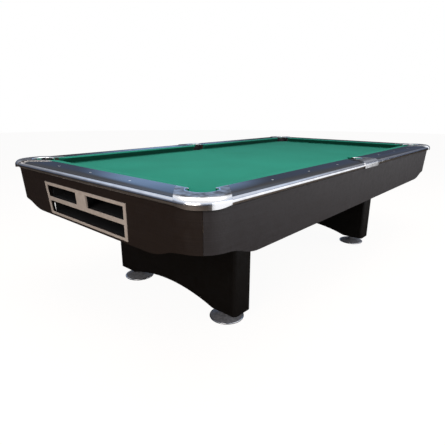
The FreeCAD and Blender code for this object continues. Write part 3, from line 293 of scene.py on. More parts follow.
def champagne_paint():
    """Baked champagne-silver enamel on pressed steel: satin, with a very fine orange peel."""
    material, tree, shader = new_material("champagne_enamel", 0.38, ior=1.5)
    where = (add(tree, "TexCoord"), "Object")
    mottled(tree, shader, where, 30 * MM, "#CFC0B4", "#DDD0C5")
    peel = add(tree, "TexNoise", {"Vector": where, "Scale": per_metre(3 * MM), "Detail": 2.0})
    relief(tree, shader, peel, "Fac", 0.04 * MM, 0.4)
    return material


def moulded_plastic():
    """Black polyethylene, blow moulded: dull and lightly grained."""
    material, tree, shader = new_material("moulded_black_polyethylene", 0.55, ior=1.5)
    where = (add(tree, "TexCoord"), "Object")
    mottled(tree, shader, where, 20 * MM, "#08080A", "#111113")
    grain = add(tree, "TexVoronoi", {"Vector": where, "Scale": per_metre(2.5 * MM)})
    relief(tree, shader, grain, "Distance", 0.1 * MM, 0.5)
    return material


def black_board():
    """Fibreboard, sprayed matt black: slightly fuzzy and uneven."""
    material, tree, shader = new_material("sprayed_black_fibreboard", 0.8, ior=1.45)
    where = (add(tree, "TexCoord"), "Object")
    mottled(tree, shader, where, 12 * MM, "#070707", "#0F0E0E")
    fuzz = add(tree, "TexNoise", {"Vector": where, "Scale": per_metre(2 * MM), "Detail": 4.0})
    relief(tree, shader, fuzz, "Fac", 0.1 * MM, 0.5)
    return material


def poplar():
    """Sawn poplar, unfinished: pale, straight grained, with slow colour bands."""
    material, tree, shader = new_material("sawn_poplar", 0.75, ior=1.45)
    place = add(tree, "TexCoord")
    stretch = add(tree, "Mapping", {"Vector": (place, "Object"), "Scale": (1 / 40, 1 / 40, 1.0)})
    ramp = mottled(tree, shader, (stretch, "Vector"), 9 * MM, "#A88862", "#D2B58B", 8.0)
    relief(tree, shader, ramp, "Color", 0.2 * MM, 0.6)
    return material


def slate():
    """Split and ground slate: blue-grey, matt, with cloudy veins."""
    material, tree, shader = new_material("ground_slate", 0.7, ior=1.55)
    where = (add(tree, "TexCoord"), "Object")
    ramp = mottled(tree, shader, where, 70 * MM, "#3D4145", "#5B6065", 9.0)
    relief(tree, shader, ramp, "Color", 0.2 * MM, 0.4)
    return material


def rail_wood():
    """Poplar rail stock, stained dark before the laminate goes on."""
    material, tree, shader = new_material("stained_poplar", 0.6, ior=1.45)
    place = add(tree, "TexCoord")
    stretch = add(tree, "Mapping", {"Vector": (place, "Object"), "Scale": (1 / 30, 1 / 30, 1.0)})
    ramp = mottled(tree, shader, (stretch, "Vector"), 6 * MM, "#1B130D", "#33251A", 6.0)
    relief(tree, shader, ramp, "Color", 0.1 * MM, 0.5)
    return material


def plated_steel():
    """Zinc-plated steel: bright grey metal with a cloudy, uneven polish."""
    material, tree, shader = new_material("zinc_plated_steel", 0.3, 1.0)
    where = (add(tree, "TexCoord"), "Object")
    mottled(tree, shader, where, 8 * MM, "#A9ABAF", "#C8C9CC")
    wandering_roughness(tree, shader, where, 6 * MM, 0.22, 0.42)
    return material


def painted_steel():
    """Black powder coat on bent steel: satin with a fine texture."""
    material, tree, shader = new_material("black_powder_coat", 0.5, ior=1.5)
    where = (add(tree, "TexCoord"), "Object")
    mottled(tree, shader, where, 25 * MM, "#141414", "#1E1E1F")
    peel = add(tree, "TexNoise", {"Vector": where, "Scale": per_metre(1.5 * MM), "Detail": 2.0})
    relief(tree, shader, peel, "Fac", 0.06 * MM, 0.5)
    return material


def foot_enamel():
    """Grey hammered enamel on cast iron: satin, slightly pitted."""
    material, tree, shader = new_material("grey_foot_enamel", 0.42, ior=1.5)
    where = (add(tree, "TexCoord"), "Object")
    mottled(tree, shader, where, 16 * MM, "#6A6A6E", "#8C8C90")
    pits = add(tree, "TexVoronoi", {"Vector": where, "Scale": per_metre(5 * MM)})
    relief(tree, shader, pits, "Distance", 0.15 * MM, 0.4)
    return material


def chromed_rim():
    """Bright nickel-chrome on the foot's rolled rim: clear reflection, light scuffs."""
    material, tree, shader = new_material("chromed_foot_rim", 0.12, 1.0)
    where = (add(tree, "TexCoord"), "Object")
    mottled(tree, shader, where, 12 * MM, "#CFCFD2", "#E8E8EA")
    wandering_roughness(tree, shader, where, 5 * MM, 0.08, 0.3)
    return material


def mother_of_pearl():
    """Pearl acrylic sights: creamy white, glossy, with a cloudy figure."""
    material, tree, shader = new_material("pearl_acrylic", 0.18, ior=1.49, coat_weight=0.5)
    where = (add(tree, "TexCoord"), "Object")
    mottled(tree, shader, where, 4 * MM, "#DAD8D2", "#FAF8F2")
    return material


# ------------------------------------------------------------------ mesh helpers
def placed(x=0.0, y=0.0, z=0.0, turn=0.0):
    return Matrix.Translation((x, y, z)) @ Matrix.Rotation(math.radians(turn), 4, "Z")


def moved(bm, matrix):
    bmesh.ops.transform(bm, matrix=matrix, verts=bm.verts)


def outward(bm):
    bmesh.ops.recalc_face_normals(bm, faces=bm.faces)


def face_from(bm, points):
    return bm.faces.new([bm.verts.new(point) for point in points])


def extruded(bm, face, along):
    """Extrude a face by a vector into a closed solid."""
    made = bmesh.ops.extrude_face_region(bm, geom=[face])
    verts = [item for item in made["geom"] if isinstance(item, bmesh.types.BMVert)]
    bmesh.ops.translate(bm, verts=verts, vec=along)


def rounded(bm, edges, width, segments):
    return bmesh.ops.bevel(bm, geom=edges, offset=width, offset_type="OFFSET", affect="EDGES",
                           segments=segments, profile=0.5, material=-1, clamp_overlap=True)


def sharp_edges(bm, degrees):
    return [edge for edge in bm.edges
            if len(edge.link_faces) == 2 and edge.calc_face_angle() > math.radians(degrees)]


def cut_off(bm, point, normal):
    """Remove what lies on the normal's side of a plane, and close the cut."""
    made = bmesh.ops.bisect_plane(bm, geom=list(bm.verts) + list(bm.edges) + list(bm.faces),
                                  plane_co=point, plane_no=normal, clear_outer=True)
    edges = [item for item in made["geom_cut"] if isinstance(item, bmesh.types.BMEdge)]
    bmesh.ops.contextual_create(bm, geom=edges)


def smooth(mesh, degrees=40):
    """Shade curves smooth and keep real edges crisp."""
    bm = bmesh.new()
    bm.from_mesh(mesh)
    for face in bm.faces:
        face.smooth = True
    for edge in sharp_edges(bm, degrees):
        edge.smooth = False
    bm.to_mesh(mesh)
    bm.free()


def as_piece(bm, name, body, slot, *materials, thick=0.0):
    """Turn a bmesh into a finished piece on a body, with a thickness where it is a sheet."""
    mesh = bpy.data.meshes.new(name)
    bm.to_mesh(mesh)
    bm.free()
    smooth(mesh)
    piece = bpy.data.objects.new(name, mesh)
    bpy.context.scene.collection.objects.link(piece)
    for material in materials:
        mesh.materials.append(material)
    if thick:
        wall = piece.modifiers.new("thickness", "SOLIDIFY")
        wall.thickness = thick
        wall.offset = -1
    weighted = piece.modifiers.new("even_shading", "WEIGHTED_NORMAL")
    weighted.keep_sharp = True
    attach(piece, body)
    return piece


def softened(node, material, width=0.8 * MM, segments=2):
    """Stand a copy of a CAD node in its place, with its facets joined and its edges broken."""
    bm = bmesh.new()
    bm.from_mesh(frame["nodes"][node].data)
    bmesh.ops.remove_doubles(bm, verts=bm.verts, dist=0.01 * MM)
    bmesh.ops.dissolve_limit(bm, angle_limit=math.radians(0.5), verts=bm.verts, edges=bm.edges)
    rounded(bm, sharp_edges(bm, 35), width, segments)
    bmesh.ops.triangulate(bm, faces=[face for face in bm.faces if len(face.verts) > 4])
    piece = as_piece(bm, node + ".finished", BODY_OF[node], SLOT_OF[node], material)
    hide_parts(node)


def carved(piece, *cutters):
    """Cut other bmeshes out of a bmesh and return the result."""
    target = bpy.data.objects.new("blank", bpy.data.meshes.new("blank"))
    bpy.context.scene.collection.objects.link(target)
    piece.to_mesh(target.data)
    piece.free()
    tools = []
    for cutter in cutters:
        tool = bpy.data.objects.new("cutter", bpy.data.meshes.new("cutter"))
        bpy.context.scene.collection.objects.link(tool)
        cutter.to_mesh(tool.data)
        cutter.free()
        cut = target.modifiers.new("cut", "BOOLEAN")
        cut.operation = "DIFFERENCE"
        cut.solver = "EXACT"
        cut.object = tool
        tools.append(tool)
    graph = bpy.context.evaluated_depsgraph_get()
    result = bmesh.new()
    result.from_mesh(target.evaluated_get(graph).to_mesh())
    for item in [target] + tools:
        bpy.data.objects.remove(item)
    bmesh.ops.remove_doubles(result, verts=result.verts, dist=0.01 * MM)
    bmesh.ops.dissolve_limit(result, angle_limit=math.radians(0.3), verts=result.verts,
                             edges=result.edges)
    return result


# ------------------------------------------------------------------ bed cloth and cushions
def make_bed_cloth(material):
    """The cloth's top face, turned down 12 mm into each pocket, given its thickness."""
    turn_down = 12 * MM
    bm = bmesh.new()
    bm.from_mesh(frame["nodes"]["bed_cloth"].data)
    bmesh.ops.remove_doubles(bm, verts=bm.verts, dist=0.01 * MM)
    below = [face for face in bm.faces if face.calc_center_median().z < BED - 0.1 * MM]
    bmesh.ops.delete(bm, geom=below, context="FACES")
    bmesh.ops.dissolve_limit(bm, angle_limit=math.radians(0.5), verts=bm.verts, edges=bm.edges)

    pockets = [(sx * (NOSE_X + CORNER_BACK), sy * (NOSE_Y + CORNER_BACK), CORNER_RADIUS)
               for sx in (-1, 1) for sy in (-1, 1)]
    pockets += [(0, sy * (NOSE_Y + SIDE_BACK), SIDE_RADIUS) for sy in (-1, 1)]

    def on_pocket(edge):
        middle = (edge.verts[0].co + edge.verts[1].co) / 2
        near = any(math.hypot(middle.x - x, middle.y - y) < radius for x, y, radius in pockets)
        return edge.is_boundary and near

    made = bmesh.ops.extrude_edge_only(bm, edges=[edge for edge in bm.edges if on_pocket(edge)])
    hanging = [item for item in made["geom"] if isinstance(item, bmesh.types.BMVert)]
    bmesh.ops.translate(bm, verts=hanging, vec=(0, 0, -turn_down))
    folds = [edge for edge in bm.edges if len(edge.link_faces) == 2 and edge.calc_face_angle() > 1]
    rounded(bm, folds, 2.5 * MM, 3)
    bmesh.ops.triangulate(bm, faces=[face for face in bm.faces if len(face.verts) > 4])
    outward(bm)
    if sum(face.normal.z for face in bm.faces) < 0:
        bmesh.ops.reverse_faces(bm, faces=bm.faces)
    piece = as_piece(bm, "bed_cloth.stretched", BODY_OF["bed_cloth"], "cloth", material,
                     thick=0.9 * MM)
    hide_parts("bed_cloth")


def cushion_section():
    """Cloth and rubber together, as (outwards from the nose line, height)."""
    skin = 1 * MM
    nose = BED + NOSE_HEIGHT
    return [(FEATHER - 0.1 * MM, RAIL_TOP - 0.2 * MM), (WOOD_FACE, RAIL_TOP),
            (12 * MM, RAIL_TOP - 0.6 * MM), (3 * MM, nose + 2.6 * MM), (0.4 * MM, nose + 1.2 * MM),
            (0, nose), (0.6 * MM, nose - 1.5 * MM), (2.6 * MM, nose - 3.6 * MM),
            (WOOD_FACE - 2.2 * MM, BED + 7 * MM), (WOOD_FACE - 2.4 * MM, BED + 0.1 * MM),
            (FEATHER - 2 * MM, BED + 0.1 * MM), (FEATHER - 2 * MM, BED + skin),
            (WOOD_FACE - 0.1 * MM, BED + skin), (WOOD_FACE - 0.1 * MM, RAIL_TOP - 1.2 * MM),
            (FEATHER - 0.1 * MM, RAIL_TOP - 1.2 * MM)]


def make_cushion(name, rail, material):
    """Rubber cushion in its cloth, cut and wrapped at the pocket facings."""
    bm = bmesh.new()
    reach = rail["reach"]
    start = -reach if len(rail["hands"]) == 2 else 0
    end = reach
    if rail["hands"] == (-1,):
        start, end = -reach, 0
    face = face_from(bm, [(start, v, z) for v, z in cushion_section()])
    extruded(bm, face, (end - start, 0, 0))
    outward(bm)
    for hand in rail["hands"]:
        tip = Vector((hand * (reach - CORNER_HALF_MOUTH), 0, 0))
        along = Vector((hand * math.cos(CORNER_FACING), math.sin(CORNER_FACING), 0))
        cut_off(bm, tip, Vector((hand * along.y, -abs(along.x), 0)))
    if len(rail["hands"]) == 1:
        hand = rail["hands"][0]
        tip = Vector((hand * SIDE_HALF_MOUTH, 0, 0))
        lean = Vector((-hand * math.sin(SIDE_FACING), math.cos(SIDE_FACING), 0))
        cut_off(bm, tip, Vector((-hand * lean.y, -abs(lean.x), 0)))
    ends = [edge for edge in sharp_edges(bm, 50)
            if abs(edge.verts[0].co.x - edge.verts[1].co.x) < FEATHER * 2
            and max(edge.verts[0].co.z, edge.verts[1].co.z) > BED + 5 * MM
            and min(edge.verts[0].co.y, edge.verts[1].co.y) < WOOD_FACE - 1 * MM]
    rounded(bm, ends, 1.5 * MM, 3)
    moved(bm, placed(rail.get("x", 0), rail.get("y", 0), 0, rail["turn"]))
    outward(bm)
    piece = as_piece(bm, "cushion_" + name, BODY_OF["cushion_cloth_" + name], "cloth", material)
    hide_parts("cushion_cloth_" + name, "cushion_rubbers")


# ------------------------------------------------------------------ castings, trims and sights
def plan_blank(points, low, high):
    bm = bmesh.new()
    face = face_from(bm, [(x, y, low) for x, y in points])
    extruded(bm, face, (0, 0, high - low))
    outward(bm)
    return bm


def corner_plan(inner, outer):
    """Corner piece in plan, between two lines, measured from the crossing of the nose lines."""
    return [(inner, inner), (inner - CORNER_LENGTH, inner), (outer - CORNER_LENGTH, outer),
            (outer, outer), (outer, outer - CORNER_LENGTH), (inner, inner - CORNER_LENGTH)]


def bend_corner(bm, outer, radius):
    """Round the upright edge at a blank's outer corner."""
    corner = [edge for edge in bm.edges
              if all(abs(v.co.x - outer) < MM and abs(v.co.y - outer) < MM for v in edge.verts)]
    rounded(bm, corner, radius, 28)


def level_edges(bm, level, wanted):
    """Edges at a level whose middle point passes a test."""
    return [edge for edge in bm.edges
            if all(abs(vert.co.z - level) < 0.05 * MM for vert in edge.verts)
            and wanted((edge.verts[0].co + edge.verts[1].co) / 2)]


def pocket_cutter(x, y, radius):
    bm = bmesh.new()
    bmesh.ops.create_cone(bm, cap_ends=True, segments=128, radius1=radius, radius2=radius,
                          depth=0.2, matrix=Matrix.Translation((x, y, RAIL_TOP)))
    return bm


def ruled(bm, low, high, step):
    """Cut a mesh into squares in plan, so that its top can be crowned."""
    for axis in (0, 1):
        for index in range(int((high - low) / step)):
            point, normal = [0, 0, 0], [0, 0, 0]
            point[axis], normal[axis] = low + index * step, 1
            bmesh.ops.bisect_plane(bm, geom=list(bm.verts) + list(bm.edges) + list(bm.faces),
                                   plane_co=point, plane_no=normal)


def crowned(bm, inside_edge):
    """Crown a casting's top: highest 70 mm in from its outer edge, lower towards both sides."""
    ridge, fall, base = 70 * MM, 4.2 * MM, CASTING_TOP - 32 * MM
    for vert in bm.verts:
        if vert.co.z > base:
            drop = fall * min(1, ((inside_edge(vert.co) - ridge) / ridge) ** 2)
            vert.co.z = base + (vert.co.z - base) * (1 - drop / (CASTING_TOP - base))


def lifted_ends(bm):
    """Raise the lower edge of a corner casting's skirt where it meets the straight trims."""
    lift, start, length = 8 * MM, 36 * MM, 80 * MM
    for vert in bm.verts:
        if vert.co.z < CASTING_LOW + 1 * MM:
            along = min(1, max(0, (min(vert.co.x, vert.co.y) - start) / length))
            vert.co.z += lift * (1 - along * along * (3 - 2 * along))


def finish_casting(bm, node, name, place, materials, shoulder, lip, inside_edge):
    """Roll a casting's shoulder and pocket lip, crown it and set it on its rails."""
    shoulder_radius, lip_radius, bright_band = 28 * MM, 5 * MM, 7 * MM
    rounded(bm, level_edges(bm, CASTING_TOP, shoulder), shoulder_radius, 12)
    rounded(bm, level_edges(bm, CASTING_TOP, lip), lip_radius, 5)
    rounded(bm, sharp_edges(bm, 50), 0.6 * MM, 2)
    ruled(bm, -120 * MM, 190 * MM, 9 * MM)
    for face in bm.faces:
        face.material_index = 1 if lip(face.calc_center_median(), bright_band) else 0
    crowned(bm, inside_edge)
    moved(bm, placed(*place[:2], 0, place[2]))
    bmesh.ops.triangulate(bm, faces=[face for face in bm.faces if len(face.verts) > 4])
    outward(bm)
    piece = as_piece(bm, name, BODY_OF[node], SLOT_OF[node], *materials)
    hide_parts(node)


def make_corner_casting(name, place, materials):
    """Cast corner: rounded outer shoulder, hollow skirt, rolled lip round the pocket."""
    bend = 140 * MM
    centre = CASTING_EDGE - bend
    skirt = RAIL_EDGE + 0.3 * MM
    bm = plan_blank(corner_plan(CASTING_INNER, CASTING_EDGE), CASTING_LOW, CASTING_TOP)
    bend_corner(bm, CASTING_EDGE, bend)
    past = -0.4
    hollow = plan_blank([(past, past), (past, skirt), (skirt, skirt), (skirt, past)],
                        CASTING_LOW - 10 * MM, CAP_BOTTOM)
    bend_corner(hollow, skirt, bend - (CASTING_EDGE - skirt))
    bm = carved(bm, hollow, pocket_cutter(CORNER_BACK, CORNER_BACK, CORNER_RADIUS))
    lifted_ends(bm)

    def inside_edge(p):
        if p.x > centre and p.y > centre:
            return bend - math.hypot(p.x - centre, p.y - centre)
        return CASTING_EDGE - max(p.x, p.y)

    def shoulder(p):
        return inside_edge(p) < 1 * MM

    def lip(p, reach=1 * MM):
        return abs(math.hypot(p.x - CORNER_BACK, p.y - CORNER_BACK) - CORNER_RADIUS) < reach

    finish_casting(bm, "corner_casting_" + name, "cast_corner_" + name, place, materials, shoulder,
                   lip, inside_edge)


def make_side_casting(name, place, materials):
    """Cast side piece: narrow at the pocket, flared to its rounded outer shoulder."""
    inner_half, cap_half = 60 * MM, 98 * MM
    flare = (cap_half - inner_half) / (RAIL_EDGE - CASTING_INNER)
    outer_half = inner_half + flare * (CASTING_EDGE - CASTING_INNER)
    bm = plan_blank([(-inner_half, CASTING_INNER), (inner_half, CASTING_INNER),
                     (outer_half, CASTING_EDGE), (-outer_half, CASTING_EDGE)],
                    CASTING_LOW, CASTING_TOP)
    skirt = RAIL_EDGE + 0.3 * MM
    past = 0.4
    hollow = plan_blank([(-past, 0), (past, 0), (past, skirt), (-past, skirt)],
                        CASTING_LOW - 10 * MM, CAP_BOTTOM)
    bm = carved(bm, hollow, pocket_cutter(0, SIDE_BACK, SIDE_RADIUS))

    def inside_edge(p):
        return CASTING_EDGE - p.y

    def shoulder(p):
        return inside_edge(p) < 1 * MM

    def lip(p, reach=1 * MM):
        return abs(math.hypot(p.x, p.y - SIDE_BACK) - SIDE_RADIUS) < reach

    finish_casting(bm, "side_casting_" + name, "cast_side_" + name, place, materials, shoulder, lip,
                   inside_edge)


def make_sights(material):
    """Domed sight buttons, one turned profile copied along every rail."""
    radius, thick, proud = 5.5 * MM, 3 * MM, 0.3 * MM
    centres = []
    for rail in RAILS.values():
        if len(rail["hands"]) == 2:
            steps = [step * NOSE_Y / 2 for step in (-1, 0, 1)]
        else:
            steps = [rail["hands"][0] * NOSE_X * step / 4 for step in (1, 2, 3)]
        matrix = placed(rail.get("x", 0), rail.get("y", 0), 0, rail["turn"])
        centres += [matrix @ Vector((u, SIGHT_BACK, 0)) for u in steps]
    bm = bmesh.new()
    for centre in centres:
        middle = Matrix.Translation((centre.x, centre.y, RAIL_TOP + proud - thick / 2))
        bmesh.ops.create_cone(bm, cap_ends=True, segments=32, radius1=radius, radius2=radius,
                              depth=thick, matrix=middle)
    rims = level_edges(bm, RAIL_TOP + proud, lambda p: True)
    rounded(bm, rims, 0.6 * MM, 3)
    piece = as_piece(bm, "sight_buttons", BODY_OF["rail_sights"], SLOT_OF["rail_sights"], material)
    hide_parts("rail_sights")


# ------------------------------------------------------------------ levellers
def turned(bm, profile, segments):
    """Spin a profile of (radius, height) points about the Z axis into a closed solid."""
    verts = [bm.verts.new((radius, 0, height)) for radius, height in profile]
    edges = [bm.edges.new(pair) for pair in zip(verts, verts[1:])]
    bmesh.ops.spin(bm, geom=verts + edges, cent=(0, 0, 0), axis=(0, 0, 1), angle=math.tau,
                   steps=segments, use_merge=True)
    bmesh.ops.remove_doubles(bm, verts=bm.verts, dist=0.005 * MM)
    outward(bm)


def make_foot(name, enamel, chrome):
    """Round foot plate: enamelled cone, rolled bright rim, hub with the stem's socket."""
    node = "leveller_base_" + name
    low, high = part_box(node)
    radius, top = (high.x - low.x) / 2, high.z
    hub, socket, floor = 20 * MM, 10.05 * MM, 13 * MM
    rim = 9 * MM
    profile = [(0, 0), (radius - 3 * MM, 0), (radius - 1 * MM, 1 * MM), (radius, 3 * MM),
               (radius, rim - 3 * MM), (radius - 1 * MM, rim - 1 * MM), (radius - 3 * MM, rim),
               (radius - 5 * MM, rim - 0.6 * MM), (radius - 6.5 * MM, rim + 0.2 * MM),
               (radius - 24 * MM, rim + 6 * MM), (hub + 14 * MM, top - 15 * MM),
               (hub + 3 * MM, top - 11 * MM), (hub, top - 8 * MM), (hub, top - 1.5 * MM),
               (hub - 1.5 * MM, top), (socket, top), (socket, floor), (0, floor)]
    bm = bmesh.new()
    turned(bm, profile, 96)
    for face in bm.faces:
        centre = face.calc_center_median()
        face.material_index = 1 if math.hypot(centre.x, centre.y) > radius - 5 * MM else 0
    moved(bm, placed((low.x + high.x) / 2, (low.y + high.y) / 2))
    piece = as_piece(bm, "foot_plate_" + name, BODY_OF[node], SLOT_OF[node], enamel, chrome)
    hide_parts(node)


def make_stem(name, material):
    """Screwed stem: helical thread above the hexagon, plain end in the foot's socket."""
    node = "leveller_stem_" + name
    low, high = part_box(node)
    centre = (low + high) / 2
    core, crest, pitch = 8.7 * MM, 10 * MM, 2.5 * MM
    hex_low, hex_high, hex_corner = 47.7 * MM, 59.7 * MM, 17.3 * MM
    bm = bmesh.new()
    turned(bm, [(0, low.z), (crest - 1 * MM, low.z), (crest, low.z + 1 * MM), (crest, 44 * MM),
                (core, 46 * MM), (core, high.z - 1 * MM), (core - 1 * MM, high.z), (0, high.z)], 48)
    thread = bmesh.new()
    turns = int((high.z - hex_high - 4 * MM) / pitch)
    start = hex_high + 1 * MM
    root = core - 0.2 * MM
    section = [thread.verts.new((radius, 0, start + rise))
               for radius, rise in ((root, 0), (root, pitch), (crest, pitch / 2))]
    ring = [thread.edges.new((section[i], section[(i + 1) % 3])) for i in range(3)]
    steps = 24
    bmesh.ops.spin(thread, geom=section + ring, cent=(0, 0, 0), axis=(0, 0, 1),
                   dvec=(0, 0, pitch / steps), angle=math.tau * turns, steps=steps * turns)
    bmesh.ops.holes_fill(thread, edges=[edge for edge in thread.edges if edge.is_boundary])
    outward(thread)
    spare = bpy.data.meshes.new("thread")
    thread.to_mesh(spare)
    thread.free()
    bm.from_mesh(spare)
    nut = bmesh.new()
    bmesh.ops.create_cone(nut, cap_ends=True, segments=6, radius1=hex_corner,
                          radius2=hex_corner, depth=hex_high - hex_low,
                          matrix=Matrix.Translation((0, 0, (hex_low + hex_high) / 2)))
    rounded(nut, nut.edges[:], 0.8 * MM, 2)
    spare.clear_geometry()
    nut.to_mesh(spare)
    nut.free()
    bm.from_mesh(spare)
    bpy.data.meshes.remove(spare)
    moved(bm, placed(centre.x, centre.y))
    piece = as_piece(bm, "screwed_stem_" + name, BODY_OF[node], SLOT_OF[node], material)
    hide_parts(node)


# ------------------------------------------------------------------ settings
class PoolTableCloth(bpy.types.PropertyGroup):
    colour: bpy.props.FloatVectorProperty(
        name="Cloth colour", description="Colour of the bed and cushion cloth",
        subtype="COLOR", size=4, min=0, max=1, default=linear("#2C9A82"))


class PoolTableCabinet(bpy.types.PropertyGroup):
    edge: bpy.props.FloatProperty(
        name="Board edges", description="Radius along the edges of the cabinet's boards",
        default=1.2 * MM, min=0.1 * MM, max=5 * MM, unit="LENGTH")


class PoolTableStage(bpy.types.PropertyGroup):
    key_power: bpy.props.FloatProperty(
        name="Overhead light", description="Power of the soft light over the bed",
        default=52.0, min=0, unit="POWER")
    side_power: bpy.props.FloatProperty(
        name="Side light", description="Power of the bright card beside the right rail",
        default=58.0, min=0, unit="POWER")
    foot_power: bpy.props.FloatProperty(
        name="Foot light", description="Power of the soft light in front of the foot end",
        default=70.0, min=0, unit="POWER")
    floor_size: bpy.props.FloatProperty(
        name="Floor", description="Width of the studio floor", default=40.0, min=5, unit="LENGTH")


# ------------------------------------------------------------------ operators
class POOLTABLE_OT_cloth(bpy.types.Operator):
    """Bed cloth and the six cloth-covered cushions"""
    bl_idname = "pool_table.cloth"
    bl_label = "Cloth and Cushions"

    def execute(self, context):
        material = worsted_cloth(tuple(context.scene.pool_table_cloth.colour))
        make_bed_cloth(material)
        for name, rail in RAILS.items():
            make_cushion(name, rail, material)
        return {"FINISHED"}


class POOLTABLE_OT_rails(bpy.types.Operator):
    """Rail caps, rail wood, trims and sights"""
    bl_idname = "pool_table.rails"
    bl_label = "Rails"

    def execute(self, context):
        cap, wood = gloss_laminate(), rail_wood()
        trim = extruded_trim()
        for name in RAILS:
            softened("rail_cap_" + name, cap, 0.4 * MM)
            softened("rail_" + name, wood)
        softened("side_trims", trim, 0.5 * MM)
        softened("end_trims", trim, 0.5 * MM)
        make_sights(mother_of_pearl())
        return {"FINISHED"}


class POOLTABLE_OT_castings(bpy.types.Operator):
    """Corner and side pocket castings and the liners under them"""
    bl_idname = "pool_table.castings"
    bl_label = "Castings and Liners"

    def execute(self, context):
        metals = (cast_aluminium(), rubbed_lip())
        for name, place in CORNERS.items():
            make_corner_casting(name, place, metals)
        for name, place in SIDES.items():
            make_side_casting(name, place, metals)
        liner = moulded_plastic()
        softened("corner_pocket_liners", liner, 0.6 * MM)
        softened("side_pocket_liners", liner, 0.6 * MM)
        return {"FINISHED"}


class POOLTABLE_OT_cabinet(bpy.types.Operator):
    """Aprons, ball return, trays and runs"""
    bl_idname = "pool_table.cabinet"
    bl_label = "Cabinet"

    def execute(self, context):
        edge = context.scene.pool_table_cabinet.edge
        end_board = matt_laminate("espresso_melamine", "#241B17", "#2C221D", 0.3)
        # Painted light: the side aprons' copy of the laminate is lighter and greyer than the ends'
        # only because the light falls on the right side.
        lit_side_board = matt_laminate("apron_laminate_painted_lit", "#302C2C", "#393537", 0.5)
        for end in ("foot", "head"):
            softened("apron_" + end, end_board, edge)
        for side in ("left", "right"):
            softened("apron_" + side, lit_side_board, edge)
        enamel = champagne_paint()
        softened("ball_return_bezel", enamel, 0.8 * MM)
        softened("ball_return_divider", enamel, 0.8 * MM)
        board = black_board()
        softened("ball_tray", board)
        softened("upper_tray", board)
        plastic = moulded_plastic()
        softened("ball_runs", plastic)
        softened("cross_gullies", plastic)
        return {"FINISHED"}


class POOLTABLE_OT_frame(bpy.types.Operator):
    """Slates, beams, hangers, bolts and nut blocks"""
    bl_idname = "pool_table.frame"
    bl_label = "Slates and Frame"

    def execute(self, context):
        stone, wood, steel, coated = slate(), poplar(), plated_steel(), painted_steel()
        for part in ("foot", "middle", "head"):
            softened("slate_" + part, stone, 0.5 * MM)
        softened("side_beams", wood, 2 * MM)
        softened("cross_beams", wood, 2 * MM)
        softened("pedestal_top_boards", wood, 2 * MM)
        softened("run_hangers", coated, 0.5 * MM)
        softened("rail_bolts", steel, 0.8 * MM)
        softened("leveller_nut_blocks", steel, 1 * MM)
        return {"FINISHED"}


class POOLTABLE_OT_pedestals(bpy.types.Operator):
    """Arched pedestal panels, end posts and screw levellers"""
    bl_idname = "pool_table.pedestals"
    bl_label = "Pedestals and Levellers"

    def execute(self, context):
        edge = context.scene.pool_table_cabinet.edge
        board = matt_laminate("black_melamine", "#0D0A08", "#14100D", 0.25)
        softened("pedestal_panels", board, edge)
        softened("pedestal_end_posts", board, edge)
        enamel, chrome, steel = foot_enamel(), chromed_rim(), plated_steel()
        for name in FEET:
            make_foot(name, enamel, chrome)
            make_stem(name, steel)
        return {"FINISHED"}


def area_light(name, power, size, place, target, colour):
    data = bpy.data.lights.new(name, "AREA")
    data.shape = "RECTANGLE"
    data.size, data.size_y = size
    data.energy = power
    data.color = colour
    item = bpy.data.objects.new(name, data)
    item.location = place
    item.rotation_euler = (Vector(target) - Vector(place)).to_track_quat("-Z", "Y").to_euler()
    item.visible_camera = False
    bpy.context.scene.collection.objects.link(item)


def studio_world():
    """White to the camera. Reflections see a dark room, one blue window and a bright ceiling."""
    world = bpy.data.worlds.new("studio")
    world.use_nodes = True
    tree = world.node_tree
    tree.nodes.clear()
    direction = (add(tree, "TexCoord"), "Generated")
    split = add(tree, "SeparateXYZ", {"Vector": direction})
    room = add(tree, "ValToRGB", {"Fac": (split, "Z")})
    stops = [(0.0, "#332E2A"), (0.07, "#4A505C"), (0.14, "#5B6780"), (0.24, "#6C7280"),
             (0.36, "#8D8D90"), (0.5, "#CFDDF5"), (0.75, "#FFFFFF")]
    ramp = room.color_ramp
    while len(ramp.elements) < len(stops):
        ramp.elements.new(0.5)
    for element, (position, colour) in zip(ramp.elements, stops):
        element.position = position
        element.color = linear(colour)
    # The window stands past the head end of the left side, low over the far corner.
    bearing, rise, blue = math.radians(49), 0.25, (0.44, 0.66, 1.06, 1.0)
    towards = Vector((math.cos(bearing), math.sin(bearing), rise)).normalized()
    facing = add(tree, "VectorMath", {0: direction, 1: towards}, operation="DOT_PRODUCT")
    window = add(tree, "MapRange", {"Value": (facing, "Value"), "From Min": 0.965,
                                    "From Max": 0.997}, interpolation_type="SMOOTHSTEP")
    pane = add(tree, "Mix", {0: (window, "Result"), 6: (room, "Color"), 7: blue},
               data_type="RGBA")
    rays = add(tree, "LightPath")
    glossy = add(tree, "Background", {"Color": (pane, 2), "Strength": 1.0})
    soft = add(tree, "Background", {"Color": linear("#F4F6FF"), "Strength": 0.2})
    plain = add(tree, "Background", {"Color": linear("#FFFFFF"), "Strength": 1.0})
    lit = add(tree, "MixShader", {0: (rays, "Is Glossy Ray"), 1: (soft, 0), 2: (glossy, 0)})
    seen = add(tree, "MixShader", {0: (rays, "Is Camera Ray"), 1: (lit, 0), 2: (plain, 0)})
    output = tree.nodes.new("ShaderNodeOutputWorld")
    tree.links.new(seen.outputs[0], output.inputs["Surface"])
    bpy.context.scene.world = world


def floor_paint():
    """Matt paint, seen white, that sends little light back up under the table."""
    material, tree, shader = new_material("pale_floor_paint", 0.9, specular_ior_level=0.0)
    shader.inputs["Base Color"].default_value = linear("#6B6158")
    shader.inputs["Emission Color"].default_value = linear("#FFFFFF")
    rays = add(tree, "LightPath")
    glow = add(tree, "Math", {0: (rays, "Is Camera Ray"), 1: 0.94}, operation="MULTIPLY")
    plug(tree, glow, 0, shader, "Emission Strength")
    return material


